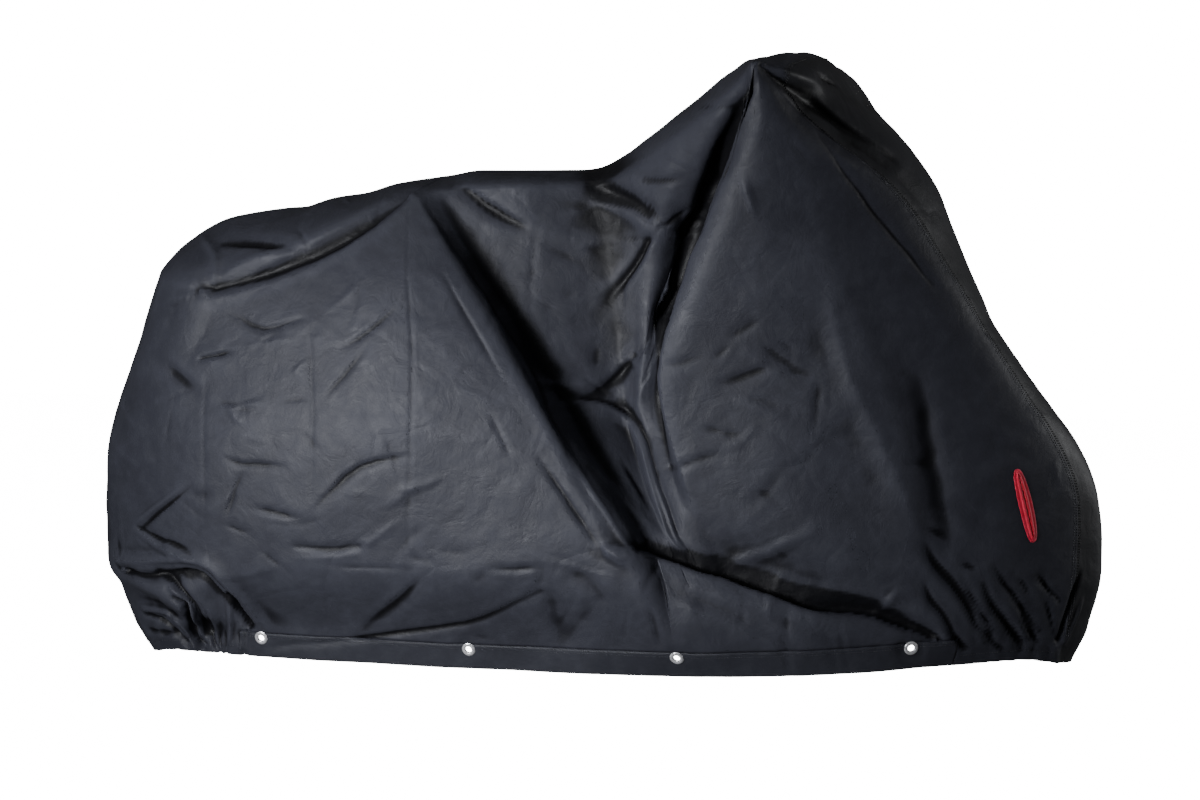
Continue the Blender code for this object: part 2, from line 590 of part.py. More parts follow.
def add_lock_slot(label, side, panel, surface, collection, cutters):
    """A slot for a lock or chain beside the front wheel, in a flat band with round edges."""
    frame = slot_frame(side)
    bow = slot_bow(side, frame)
    data = bpy.data.curves.new(label, "CURVE")
    data.dimensions = "3D"
    data.bevel_depth = BINDING_RADIUS
    data.bevel_resolution = 1
    data.extrude = BINDING_WIDTH / 2.0 - BINDING_RADIUS
    data.twist_mode = "Z_UP"
    loop = data.splines.new("POLY")
    outline = slot_outline(0.0)
    loop.points.add(len(outline) - 1)
    for point, target in zip(loop.points, outline):
        point.co = (*bent(target, bow), 1.0)
        point.tilt = FLAT_TILT
    loop.use_cyclic_u = True
    binding = add_object(label, data, surface, collection)
    binding.matrix_world = frame

    shaped = bmesh.new()
    depth = Vector((0.0, 0.0, 0.03))
    hole = [shaped.verts.new(Vector((*point, 0.0)) - depth) for point in slot_outline(BINDING_WIDTH / 2.0 + SEAM_GAP)]
    base = shaped.faces.new(hole)
    raised = bmesh.ops.extrude_face_region(shaped, geom=[base])["geom"]
    bmesh.ops.translate(shaped, vec=depth * 2.0, verts=[g for g in raised if isinstance(g, bmesh.types.BMVert)])
    bmesh.ops.recalc_face_normals(shaped, faces=shaped.faces)
    mesh = bpy.data.meshes.new(label + "_hole")
    shaped.to_mesh(mesh)
    shaped.free()
    cutter = bpy.data.objects.new(label + "_hole", mesh)
    collection.objects.link(cutter)
    cutter.matrix_world = frame
    cut(panel, hide_cutter(cutter, cutters))


def main():
    clear_scene()
    cover = bpy.data.collections.new("bicycle_cover")
    cutters = bpy.data.collections.new("cutters")
    bpy.context.scene.collection.children.link(cover)
    bpy.context.scene.collection.children.link(cutters)
    nylon = material("black_nylon", (0.030, 0.031, 0.036), 0.48)
    webbing = material("black_hem", (0.024, 0.024, 0.028), 0.55)
    steel = material("plated_eyelet", (0.80, 0.80, 0.82), 0.25, 1.0)
    red = material("red_binding", (0.72, 0.015, 0.035), 0.50)

    sides = {"right": Side(RIGHT_LINES, RIGHT_FOLDS, -1.0), "left": Side(LEFT_LINES, LEFT_FOLDS, 1.0)}
    nose_panel("nose_panel", sides.values(), nylon, cover)
    for hand, side in sides.items():
        panel = side_panel(hand + "_side_panel", side, nylon, cover)
        add_lock_slot(hand + "_lock_slot", side, panel, red, cover, cutters)
        frames = {number: eyelet_frame(side, x) for number, x in EYELET_PLACES.items()}
        band = hem_band(hand + "_hem_band", side, frames, webbing, cover)
        for number, frame in frames.items():
            add_eyelet(f"{hand}_eyelet_{number}", frame, band, steel, cover, cutters)


main()
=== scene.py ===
import json
import math

import bmesh
import bpy
import numpy as np
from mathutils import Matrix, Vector


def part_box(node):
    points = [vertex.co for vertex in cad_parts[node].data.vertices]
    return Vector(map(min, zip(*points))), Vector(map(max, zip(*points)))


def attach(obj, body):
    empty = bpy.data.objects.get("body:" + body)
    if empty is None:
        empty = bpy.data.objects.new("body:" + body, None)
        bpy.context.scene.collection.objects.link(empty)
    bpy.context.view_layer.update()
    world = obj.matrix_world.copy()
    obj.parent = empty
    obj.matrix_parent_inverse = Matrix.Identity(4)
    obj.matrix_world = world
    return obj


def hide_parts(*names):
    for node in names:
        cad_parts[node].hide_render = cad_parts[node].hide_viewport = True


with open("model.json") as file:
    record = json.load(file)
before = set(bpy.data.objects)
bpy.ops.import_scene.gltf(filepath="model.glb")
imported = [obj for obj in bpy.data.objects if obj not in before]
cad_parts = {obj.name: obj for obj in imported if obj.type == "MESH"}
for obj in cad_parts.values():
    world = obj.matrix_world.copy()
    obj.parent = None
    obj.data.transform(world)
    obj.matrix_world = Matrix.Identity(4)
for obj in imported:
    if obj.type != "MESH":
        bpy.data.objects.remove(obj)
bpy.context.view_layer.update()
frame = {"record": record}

# A fitted nylon cover as it hangs over a bicycle.  Metres, +X to the front, +Y to the left, +Z up.
# The tables count x from the rear axle and z from the ground, and tableOrigin is the part's own
# origin there.
tableOrigin = np.array([0.420, 0.0, 0.9855])
groundLevel = -tableOrigin[2]

cameraSetup = {"place": (0.802, -3.382, 0.0355), "tiltDown": 7.06, "turn": 11.11, "lens": 60.0,
               "sensor": 36.0}


def addCamera():
    data = bpy.data.cameras.new("camera")
    data.lens = cameraSetup["lens"]
    data.sensor_width = cameraSetup["sensor"]
    camera = bpy.data.objects.new("camera", data)
    bpy.context.scene.collection.objects.link(camera)
    camera.location = cameraSetup["place"]
    tilt, turn = 90.0 - cameraSetup["tiltDown"], cameraSetup["turn"]
    camera.rotation_euler = (math.radians(tilt), 0.0, math.radians(turn))
    bpy.context.scene.camera = camera


addCamera()
print("camera placed")

# the drape is the part's, but for the right side's valley, recess and fan, which are drawn deeper here,
# and for the moves of the two edges
drape = {
    "shoulderLevel": 0.93,                    # share of the height where the top begins
    "sideShares": (0.0, 0.25, 0.5, 0.75, 1.0),    # levels of hem, low, mid, high and shoulder below that
    "skirtLevel": 0.075, "skirtFlare": 1.08,  # the cloth is this much wider a little above the hem
    "hemBand": 0.044,                         # height of the strip that holds the eyelets
    "frontBow": 0.0135,                       # the front edge draws in above its middle and swells over that
    "rearReach": 1.5, "frontReach": 2.0,      # tension lines over which the moves of an edge fade out
    "bandFrom": "carrier", "bandTo": "front side",
}

ridgeLine = {
    "x": [-0.190, -0.160, -0.110, -0.060, 0.000, 0.030, 0.060, 0.085, 0.110, 0.140, 0.200, 0.300, 0.350,
          0.400, 0.530, 0.555, 0.610, 0.635, 0.660, 0.690, 0.740, 0.765, 0.790, 0.815, 0.840, 0.870,
          0.905, 0.945],
    "z": [0.862, 0.883, 0.906, 0.916, 0.924, 0.926, 0.935, 0.942, 0.946, 0.950, 0.967, 0.982, 0.990,
          0.990, 0.991, 0.994, 1.021, 1.040, 1.058, 1.082, 1.120, 1.142, 1.158, 1.173, 1.177, 1.179,
          1.186, 1.174],
}

hemLine = {
    "x": [-0.276, -0.200, -0.120, 0.100, 0.370, 0.750, 1.000, 1.150, 1.280, 1.370],
    "z": [0.118, 0.136, 0.140, 0.142, 0.147, 0.162, 0.176, 0.186, 0.190, 0.172],
}

# moves of the rear and the front edge along +X at each height
edgeTrim = {
    "rear": {
        "z": [0.118, 0.143, 0.164, 0.184, 0.204, 0.224, 0.244, 0.262, 0.285, 0.305, 0.325, 0.365, 0.385,
              0.420, 0.445, 0.465, 0.500, 0.580, 0.640, 0.700, 0.760, 0.815],
        "x": [0.000, -0.008, -0.010, -0.007, -0.002, 0.002, 0.007, 0.012, 0.001, -0.005, -0.009, -0.006,
              -0.005, 0.000, 0.005, 0.005, 0.002, -0.003, 0.000, 0.005, 0.002, -0.003],
    },
    "front": {
        "z": [0.175, 0.200, 0.225, 0.250, 0.275, 0.300, 0.325, 0.350, 0.375, 0.425, 0.475, 0.500, 0.525,
              0.550, 0.600, 0.650, 0.740, 0.780, 0.900, 0.973, 1.023, 1.060, 1.098, 1.120, 1.148],
        "x": [-0.002, 0.005, 0.010, 0.010, 0.011, 0.011, 0.009, 0.005, 0.002, -0.002, 0.003, 0.006,
              0.008, 0.009, 0.003, -0.004, -0.005, 0.000, 0.002, 0.008, 0.007, 0.000, -0.008, -0.005,
              0.003],
    },
}

# one row for each tension line of the cloth, from the rear edge round to the front edge:
# x along the bicycle and w half wide at each level down the side
lineColumns = ("topX", "shoulderX", "shoulderW", "shoulderZ", "highX", "highW", "midX", "midW",
               "lowX", "lowW", "hemX", "hemW")
rightLines = {
    "rear edge":    (-0.190, -0.232, 0.000, 0.815, -0.300, 0.000, -0.354, 0.000, -0.350, 0.000, -0.276, 0.000),
    "rear turn":    (-0.178, -0.203, 0.105, 0.800, -0.276, 0.080, -0.328, 0.075, -0.322, 0.070, -0.254, 0.055),
    "rear corner":  (-0.130, -0.103, 0.155, 0.787, -0.170, 0.150, -0.222, 0.140, -0.225, 0.130, -0.160, 0.100),
    "carrier":       (0.020, 0.050, 0.150, 0.850, 0.020, 0.180, -0.040, 0.195, -0.070, 0.180, -0.066, 0.120),
    "side panel":    (0.160, 0.170, 0.128, 0.912, 0.215, 0.190, 0.262, 0.215, 0.300, 0.210, 0.300, 0.150),
    "saddle ridge":  (0.250, 0.262, 0.098, 0.948, 0.392, 0.165, 0.520, 0.205, 0.652, 0.226, 0.700, 0.188),
    "saddle valley": (0.300, 0.310, 0.082, 0.952, 0.430, 0.097, 0.556, 0.122, 0.686, 0.193, 0.760, 0.190),
    "recess":        (0.420, 0.425, 0.088, 0.962, 0.500, 0.084, 0.590, 0.102, 0.702, 0.186, 0.800, 0.190),
    "saddle nose":   (0.545, 0.560, 0.070, 0.962, 0.590, 0.071, 0.622, 0.087, 0.716, 0.183, 0.835, 0.188),
    "neck":          (0.690, 0.715, 0.165, 1.045, 0.678, 0.100, 0.648, 0.104, 0.726, 0.181, 0.870, 0.185),
    "bar valley":    (0.815, 0.834, 0.262, 1.136, 0.742, 0.100, 0.678, 0.096, 0.738, 0.180, 0.900, 0.183),
    "bar ridge":     (0.850, 0.852, 0.283, 1.156, 0.756, 0.214, 0.692, 0.182, 0.764, 0.182, 0.930, 0.180),
    "fan":           (0.880, 0.860, 0.285, 1.157, 0.850, 0.228, 0.850, 0.192, 0.905, 0.190, 1.000, 0.168),
    "front wheel":   (0.905, 0.868, 0.280, 1.154, 0.945, 0.212, 1.010, 0.176, 1.060, 0.175, 1.090, 0.150),
    "front side":    (0.922, 0.880, 0.272, 1.150, 1.034, 0.178, 1.160, 0.142, 1.225, 0.140, 1.172, 0.128),
    "nose seam":     (0.932, 0.900, 0.252, 1.146, 1.108, 0.125, 1.262, 0.080, 1.370, 0.052, 1.343, 0.050),
    "front edge":    (0.940, 1.012, 0.000, 1.100, 1.166, 0.000, 1.300, 0.000, 1.411, 0.000, 1.370, 0.000),
}
leftLines = {
    "rear edge":    (-0.190, -0.232, 0.000, 0.815, -0.300, 0.000, -0.354, 0.000, -0.350, 0.000, -0.276, 0.000),
    "rear turn":    (-0.178, -0.203, 0.098, 0.802, -0.274, 0.082, -0.326, 0.078, -0.322, 0.072, -0.254, 0.055),
    "rear corner":  (-0.120, -0.098, 0.150, 0.792, -0.160, 0.152, -0.214, 0.145, -0.220, 0.132, -0.160, 0.100),
    "carrier":       (0.060, 0.070, 0.146, 0.862, 0.040, 0.178, -0.010, 0.196, -0.060, 0.186, -0.066, 0.121),
    "saddle ridge":  (0.250, 0.270, 0.104, 0.946, 0.315, 0.160, 0.350, 0.205, 0.390, 0.205, 0.380, 0.155),
    "recess":        (0.430, 0.450, 0.080, 0.958, 0.490, 0.105, 0.530, 0.130, 0.585, 0.165, 0.600, 0.172),
    "neck":          (0.640, 0.690, 0.120, 1.010, 0.690, 0.100, 0.700, 0.130, 0.740, 0.175, 0.780, 0.182),
    "bar ridge":     (0.860, 0.938, 0.272, 1.152, 0.885, 0.205, 0.850, 0.190, 0.880, 0.195, 0.920, 0.180),
    "fan":           (0.890, 0.952, 0.282, 1.158, 0.990, 0.232, 1.030, 0.192, 1.060, 0.186, 1.060, 0.156),
    "front side":    (0.918, 0.962, 0.270, 1.152, 1.070, 0.172, 1.165, 0.140, 1.230, 0.132, 1.172, 0.128),
    "nose seam":     (0.932, 0.972, 0.235, 1.146, 1.120, 0.115, 1.262, 0.080, 1.370, 0.052, 1.343, 0.050),
    "front edge":    (0.940, 1.012, 0.000, 1.100, 1.166, 0.000, 1.300, 0.000, 1.411, 0.000, 1.370, 0.000),
}

# broad folds: path in x and z, height (sunk when negative), width behind and ahead of the path
# and strength at its two ends
foldColumns = ("path", "height", "behind", "ahead", "start", "end")
rightFolds = {
    "carrier tuck": (((-0.09, 0.788), (0.07, 0.836), (0.164, 0.886), (0.238, 0.943)),
        -0.005, 0.024, 0.09, 0.9, 0.3),
    "pedal roll": (((0.64, 0.33), (0.77, 0.3), (0.93, 0.268), (1.12, 0.226)), 0.022, 0.055, 0.09, 0.3, 0.1),
    "pedal trough": (((0.72, 0.375), (0.82, 0.35), (0.94, 0.318), (1.12, 0.266)),
        -0.02, 0.045, 0.035, 0.1, 0.1),
    "bar trough": (((0.838, 1.12), (0.79, 1.0), (0.72, 0.83), (0.672, 0.7)), -0.02, 0.03, 0.02, 0.2, 0.3),
    "nose tuck": (((0.885, 1.14), (0.96, 1.06), (1.07, 0.99)), -0.014, 0.024, 0.018, 0.2, 0.0),
    "rear roll": (((-0.335, 0.285), (-0.22, 0.262), (-0.135, 0.205), (-0.075, 0.165)),
        0.018, 0.03, 0.022, 0.4, 0.3),
    "rear pocket": (((-0.15, 0.19), (-0.085, 0.18)), -0.02, 0.025, 0.025, 0.5, 0.5),
    "fan edge": (((0.93, 0.93), (1.06, 0.6), (1.12, 0.33)), 0.008, 0.03, 0.05, 0.0, 0.2),
}
leftFolds = {
    "carrier tuck": (((-0.085, 0.8), (0.07, 0.856), (0.25, 0.936)), -0.012, 0.022, 0.024, 0.7, 0.2),
    "saddle fold": (((0.3, 0.9), (0.42, 0.64), (0.56, 0.42)), 0.018, 0.06, 0.04, 0.2, 0.1),
    "bar trough": (((0.9, 1.08), (0.82, 0.88), (0.76, 0.64)), -0.018, 0.035, 0.03, 0.2, 0.1),
    "fan edge": (((1.0, 0.96), (1.08, 0.64), (1.11, 0.35)), 0.01, 0.04, 0.05, 0.0, 0.2),
    "rear roll": (((-0.33, 0.3), (-0.215, 0.27), (-0.12, 0.215)), 0.014, 0.03, 0.024, 0.4, 0.2),
}

gathers = {
    "rear": {"fromX": -0.276, "toX": -0.100, "height": 0.150, "depth": 0.007, "pleats": 5.5, "phase": 0.4},
    "front": {"fromX": 1.370, "toX": 1.190, "height": 0.190, "depth": 0.008, "pleats": 6.5, "phase": 1.1},
}

# drawn creases: path in x and z, height (sunk when negative), width on the left and the right hand
# of the path, radius of the crest and strength at the two ends
creaseColumns = ("path", "height", "left", "right", "round", "start", "end")
rightCreases = {
    "saddle streak high": (((0.32, 0.82), (0.43, 0.655)), -0.0024, 0.008, 0.01, 0.001, 0.2, 0.2),
    "saddle streak middle": (((0.415, 0.59), (0.45, 0.525)), -0.0018, 0.008, 0.01, 0.001, 0.2, 0.2),
    "saddle streak low": (((0.495, 0.525), (0.605, 0.375)), -0.004, 0.01, 0.012, 0.001, 0.2, 0.4),
    "pedal knuckle": (((0.6, 0.385), (0.625, 0.37), (0.65, 0.355)), 0.007, 0.018, 0.016, 0.003, 0.3, 0.3),
    "pedal crest": (((0.63, 0.38), (0.735, 0.345), (0.86, 0.31), (1.1, 0.23)),
        0.006, 0.008, 0.03, 0.003, 0.8, 0.2),
    "pedal shadow": (((0.665, 0.38), (0.735, 0.355), (0.86, 0.32), (0.935, 0.295), (1.055, 0.275),
        (1.135, 0.235)), -0.02, 0.028, 0.01, 0.004, 0.4, 0.5),
    "pedal band one": (((0.77, 0.295), (0.93, 0.255), (1.025, 0.215)),
        -0.0024, 0.02, 0.02, 0.008, 0.2, 0.2),
    "pedal band two": (((0.67, 0.33), (0.8, 0.285), (0.915, 0.22)), -0.0032, 0.016, 0.018, 0.006, 0.2, 0.3),
    "under knuckle": (((0.535, 0.34), (0.58, 0.325), (0.61, 0.285)), -0.004, 0.022, 0.024, 0.01, 0.4, 0.3),
    "under knuckle left": (((0.51, 0.31), (0.53, 0.21)), -0.003, 0.02, 0.022, 0.008, 0.3, 0.4),
    "under knuckle right": (((0.6, 0.295), (0.53, 0.21)), -0.0024, 0.02, 0.022, 0.008, 0.3, 0.4),
    "hem tuck middle": (((0.685, 0.28), (0.7, 0.22)), -0.003, 0.012, 0.01, 0.002, 0.2, 0.4),
    "curved crest": (((0.51, 0.605), (0.57, 0.6), (0.635, 0.56), (0.675, 0.475), (0.705, 0.4),
        (0.735, 0.365)), 0.004, 0.006, 0.024, 0.0015, 0.2, 0.4),
    "curved shadow": (((0.515, 0.61), (0.575, 0.605), (0.645, 0.565), (0.685, 0.48), (0.72, 0.405),
        (0.745, 0.37)), -0.0056, 0.026, 0.005, 0.0015, 0.2, 0.4),
    "inner fold": (((0.62, 0.505), (0.675, 0.435)), -0.0042, 0.018, 0.01, 0.002, 0.2, 0.3),
    "recess ridge": (((0.525, 0.57), (0.635, 0.445), (0.72, 0.375)), 0.003, 0.024, 0.024, 0.003, 0.2, 0.4),
    "rear packing crease": (((-0.1, 0.67), (-0.1, 0.535), (-0.1, 0.38)),
        -0.0012, 0.009, 0.006, 0.0008, 0.2, 0.3),
    "carrier packing crease": (((0.09, 0.755), (0.105, 0.575), (0.1, 0.395)),
        -0.0012, 0.009, 0.006, 0.0008, 0.2, 0.3),
    "middle packing crease": (((0.25, 0.93), (0.28, 0.61), (0.26, 0.23)),
        -0.0011, 0.008, 0.006, 0.0008, 0.3, 0.3),
    "recess packing crease": (((0.475, 0.94), (0.46, 0.84), (0.455, 0.75)),
        -0.0016, 0.007, 0.007, 0.0008, 0.3, 0.2),
    "rear tuck high": (((-0.055, 0.75), (0.01, 0.725), (0.085, 0.745)),
        -0.0035, 0.008, 0.017, 0.0008, 0.3, 0.2),
    "rear ridge high": (((-0.025, 0.695), (0.065, 0.71)), 0.0018, 0.01, 0.013, 0.0008, 0.2, 0.2),
    "rear edge tuck": (((-0.11, 0.67), (-0.045, 0.685)), -0.0042, 0.008, 0.011, 0.0008, 0.8, 0.2),
    "rear hollow": (((-0.185, 0.655), (-0.12, 0.615)), -0.0042, 0.013, 0.017, 0.01, 0.3, 0.3),
    "carrier tuck low": (((0.15, 0.695), (0.2, 0.725), (0.25, 0.77)),
        -0.003, 0.006, 0.015, 0.0008, 0.2, 0.2),
    "carrier crossing": (((0.125, 0.615), (0.16, 0.65), (0.2, 0.705)),
        -0.0024, 0.006, 0.012, 0.0008, 0.2, 0.2),
    "rear fleck": (((0.045, 0.605), (0.095, 0.61)), -0.0018, 0.006, 0.009, 0.0008, 0.2, 0.2),
    "rear ridge middle": (((-0.08, 0.585), (0.015, 0.6)), 0.0018, 0.008, 0.012, 0.0008, 0.3, 0.2),
    "rear tuck middle": (((-0.055, 0.505), (-0.015, 0.495), (0.055, 0.495)),
        -0.0035, 0.006, 0.015, 0.0008, 0.3, 0.2),
    "rear drop": (((-0.025, 0.48), (-0.045, 0.44), (-0.06, 0.4)), -0.0032, 0.011, 0.008, 0.0008, 0.3, 0.3),
    "wheel tuck": (((0.11, 0.425), (0.19, 0.5), (0.27, 0.52)), -0.0042, 0.007, 0.017, 0.0008, 0.3, 0.3),
    "wheel pocket": (((0.07, 0.355), (0.13, 0.355), (0.19, 0.36)), -0.0036, 0.01, 0.007, 0.004, 0.5, 0.6),
    "wheel pocket edge": (((0.19, 0.36), (0.255, 0.41)), 0.002, 0.01, 0.012, 0.0008, 0.6, 0.2),
    "wheel pocket lip": (((0.07, 0.335), (0.18, 0.345)), 0.002, 0.006, 0.015, 0.0008, 0.4, 0.4),
    "wheel line": (((0.12, 0.325), (0.28, 0.325)), -0.0021, 0.006, 0.011, 0.0008, 0.2, 0.3),
    "hem tuck rear": (((0.175, 0.21), (0.25, 0.27), (0.29, 0.31)), -0.004, 0.01, 0.022, 0.0015, 0.4, 0.2),
    "rear band": (((-0.005, 0.42), (0.08, 0.405)), -0.0035, 0.01, 0.011, 0.003, 0.2, 0.3),
    "rear facet edge": (((-0.105, 0.29), (-0.04, 0.295), (0.03, 0.315)),
        0.002, 0.03, 0.009, 0.0008, 0.3, 0.3),
    "rear dent one": (((-0.06, 0.385), (-0.02, 0.375)), -0.0024, 0.006, 0.007, 0.0008, 0.3, 0.3),
    "rear dent two": (((0.005, 0.345), (0.045, 0.315)), -0.0024, 0.006, 0.009, 0.0008, 0.3, 0.3),
    "hem shelf": (((-0.015, 0.16), (0.145, 0.185), (0.31, 0.22), (0.36, 0.23), (0.5, 0.3)),
        -0.005, 0.006, 0.014, 0.0015, 0.4, 0.4),
    "recess lower line": (((0.415, 0.335), (0.505, 0.34)), -0.004, 0.01, 0.014, 0.001, 0.2, 0.3),
    "saddle blot": (((0.34, 0.96), (0.385, 0.93), (0.455, 0.89)), -0.0081, 0.012, 0.024, 0.003, 0.7, 0.2),
    "recess bulge": (((0.48, 0.885), (0.555, 0.875), (0.63, 0.88)), 0.0036, 0.036, 0.036, 0.01, 0.3, 0.3),
    "recess patch": (((0.49, 0.64), (0.53, 0.63), (0.57, 0.64)), 0.0042, 0.024, 0.01, 0.003, 0.4, 0.5),
    "recess crescent": (((0.55, 0.61), (0.59, 0.635), (0.62, 0.665), (0.635, 0.685)),
        -0.0064, 0.008, 0.022, 0.003, 0.3, 0.4),
    "neck shadow": (((0.555, 0.965), (0.61, 0.945), (0.66, 0.92)), -0.009, 0.022, 0.012, 0.005, 0.4, 0.6),
    "neck line": (((0.55, 0.94), (0.595, 0.93), (0.64, 0.91), (0.66, 0.885)),
        0.0036, 0.01, 0.012, 0.001, 0.3, 0.8),
    "neck knot": (((0.665, 0.9), (0.69, 0.89)), 0.004, 0.012, 0.014, 0.002, 0.5, 0.5),
    "neck drop": (((0.65, 0.96), (0.665, 0.93), (0.68, 0.9)), -0.004, 0.008, 0.008, 0.001, 0.4, 0.6),
    "neck ray up": (((0.68, 0.895), (0.735, 0.93)), -0.0035, 0.008, 0.01, 0.001, 0.7, 0.2),
    "neck ray across": (((0.68, 0.88), (0.74, 0.88)), 0.003, 0.008, 0.01, 0.001, 0.6, 0.2),
    "neck ray top": (((0.65, 0.975), (0.72, 0.975)), -0.004, 0.01, 0.01, 0.001, 0.3, 0.2),
    "neck ray rear": (((0.635, 0.985), (0.655, 0.945), (0.675, 0.905)),
        0.004, 0.008, 0.008, 0.001, 0.2, 0.6),
    "neck fall": (((0.66, 0.88), (0.645, 0.85), (0.585, 0.77)), -0.008, 0.01, 0.016, 0.002, 0.7, 0.2),
    "neck fleck two": (((0.62, 0.675), (0.64, 0.67)), 0.004, 0.008, 0.008, 0.001, 0.4, 0.4),
    "bar facet": (((0.745, 1.095), (0.82, 1.09)), -0.004, 0.012, 0.014, 0.001, 0.2, 0.6),
    "bar crest": (((0.8, 0.97), (0.77, 0.895), (0.735, 0.825), (0.695, 0.725), (0.665, 0.66)),
        0.006, 0.09, 0.01, 0.002, 0.5, 0.4),
    "bar highlight": (((0.835, 0.98), (0.85, 0.92)), 0.004, 0.012, 0.012, 0.002, 0.2, 0.2),
    "fan crumple one": (((0.785, 0.65), (0.84, 0.665), (0.88, 0.685)),
        -0.003, 0.01, 0.018, 0.001, 0.2, 0.3),
    "fan crumple two": (((0.95, 0.66), (0.945, 0.575)), -0.0024, 0.014, 0.012, 0.001, 0.2, 0.3),
    "fan crumple three": (((0.685, 0.495), (0.745, 0.52), (0.79, 0.535)),
        -0.003, 0.008, 0.018, 0.001, 0.3, 0.2),
    "fan crumple four": (((0.82, 0.625), (0.905, 0.59)), 0.002, 0.01, 0.016, 0.001, 0.2, 0.2),
    "fan crumple five": (((0.86, 0.715), (0.92, 0.675)), -0.0024, 0.01, 0.014, 0.001, 0.2, 0.2),
    "fan crumple six": (((0.76, 0.575), (0.835, 0.565)), -0.0024, 0.008, 0.016, 0.001, 0.2, 0.2),
    "fan tone edge": (((0.965, 0.82), (0.995, 0.685), (1.07, 0.525), (1.12, 0.4)),
        0.0045, 0.026, 0.05, 0.003, 0.2, 0.3),
    "fan dark edge": (((1.105, 0.675), (1.13, 0.55), (1.16, 0.4)), -0.006, 0.026, 0.04, 0.008, 0.3, 0.5),
    "fan kink one": (((1.075, 0.525), (1.135, 0.525)), -0.0015, 0.012, 0.014, 0.004, 0.4, 0.4),
    "fan kink two": (((1.125, 0.42), (1.155, 0.405)), -0.0025, 0.01, 0.01, 0.002, 0.4, 0.4),
    "fan wedge": (((0.795, 0.345), (0.875, 0.375), (0.95, 0.415)), 0.0042, 0.018, 0.016, 0.002, 0.4, 0.2),
    "fan wedge low": (((1.05, 0.275), (1.085, 0.315)), 0.005, 0.012, 0.014, 0.002, 0.4, 0.2),
    "bar shadow": (((0.865, 1.155), (0.905, 1.12), (0.94, 1.095), (1.06, 1.01)),
        -0.009, 0.012, 0.018, 0.003, 0.6, 0.3),
    "seam line": (((0.95, 1.045), (1.025, 0.94), (1.08, 0.87), (1.13, 0.81)),
        -0.004, 0.02, 0.008, 0.0015, 0.4, 0.6),
    "bar patch": (((0.895, 1.145), (0.92, 1.135), (0.945, 1.125)), 0.006, 0.014, 0.014, 0.004, 0.4, 0.4),
    "bar notch": (((0.94, 1.145), (0.965, 1.13)), -0.007, 0.012, 0.012, 0.003, 0.5, 0.5),
    "saddle crest": (((0.26, 0.945), (0.38, 0.79), (0.49, 0.615), (0.6, 0.455), (0.655, 0.375)),
        0.003, 0.012, 0.04, 0.003, 0.6, 0.8),
    "saddle valley": (((0.285, 0.93), (0.385, 0.79), (0.48, 0.65), (0.575, 0.48), (0.64, 0.385)),
        -0.005, 0.05, 0.018, 0.004, 0.3, 1.0),
    "carrier shadow": (((-0.09, 0.79), (-0.005, 0.81), (0.065, 0.835), (0.165, 0.885), (0.24, 0.945)),
        -0.016, 0.052, 0.013, 0.004, 0.9, 0.4),
    "carrier facet": (((-0.09, 0.805), (-0.03, 0.835), (0.05, 0.865)),
        0.005, 0.022, 0.014, 0.002, 0.4, 0.4),
    "top facet dark": (((-0.09, 0.865), (-0.025, 0.865), (0.065, 0.86)),
        -0.009, 0.03, 0.016, 0.003, 0.5, 0.5),
    "top tuck one": (((0.05, 0.89), (0.085, 0.865)), -0.003, 0.01, 0.01, 0.001, 0.2, 0.4),
    "rear corner edge": (((-0.145, 0.875), (-0.105, 0.85), (-0.09, 0.825), (-0.095, 0.79)),
        0.005, 0.012, 0.022, 0.003, 0.5, 0.4),
    "rear corner hollow": (((-0.175, 0.79), (-0.125, 0.785), (-0.1, 0.785)),
        -0.006, 0.045, 0.016, 0.006, 0.4, 0.6),
    "rear fold crest": (((-0.295, 0.295), (-0.215, 0.305), (-0.155, 0.315), (-0.13, 0.315), (-0.095, 0.305),
        (-0.075, 0.285), (-0.06, 0.265), (-0.035, 0.23), (-0.02, 0.195)),
        0.009, 0.036, 0.007, 0.002, 0.7, 0.5),
    "rear fold under": (((-0.285, 0.28), (-0.215, 0.285), (-0.15, 0.295), (-0.115, 0.29), (-0.095, 0.27),
        (-0.075, 0.245), (-0.05, 0.215), (-0.035, 0.185)), -0.015, 0.007, 0.05, 0.003, 0.9, 0.7),
    "rear pocket": (((-0.07, 0.255), (-0.06, 0.22), (-0.04, 0.195)), -0.0172, 0.012, 0.01, 0.003, 0.7, 0.8),
    "rear pocket border": (((-0.075, 0.265), (-0.08, 0.21), (-0.085, 0.16)),
        0.0046, 0.006, 0.006, 0.001, 0.4, 0.5),
    "rear gather one": (((-0.21, 0.29), (-0.18, 0.275), (-0.155, 0.25), (-0.135, 0.22), (-0.13, 0.175)),
        -0.0103, 0.01, 0.009, 0.0015, 0.4, 0.7),
    "rear gather crest": (((-0.185, 0.265), (-0.155, 0.24), (-0.145, 0.22), (-0.145, 0.175)),
        0.0086, 0.007, 0.008, 0.0015, 0.3, 0.6),
    "rear gather two": (((-0.175, 0.245), (-0.155, 0.23), (-0.16, 0.175), (-0.14, 0.15)),
        -0.0155, 0.011, 0.011, 0.002, 0.4, 0.8),
    "rear gather light": (((-0.26, 0.205), (-0.205, 0.21), (-0.18, 0.19), (-0.165, 0.165), (-0.155, 0.145)),
        0.0103, 0.011, 0.007, 0.0015, 0.4, 0.7),
    "rear gather three": (((-0.26, 0.195), (-0.22, 0.19), (-0.195, 0.17), (-0.17, 0.15)),
        -0.0103, 0.008, 0.009, 0.0015, 0.4, 0.6),
    "rear gather four": (((-0.255, 0.165), (-0.205, 0.165), (-0.175, 0.145)),
        -0.0086, 0.008, 0.008, 0.0015, 0.4, 0.6),
    "rear gather five": (((-0.12, 0.22), (-0.125, 0.175), (-0.11, 0.14)),
        -0.0069, 0.006, 0.006, 0.001, 0.3, 0.8),
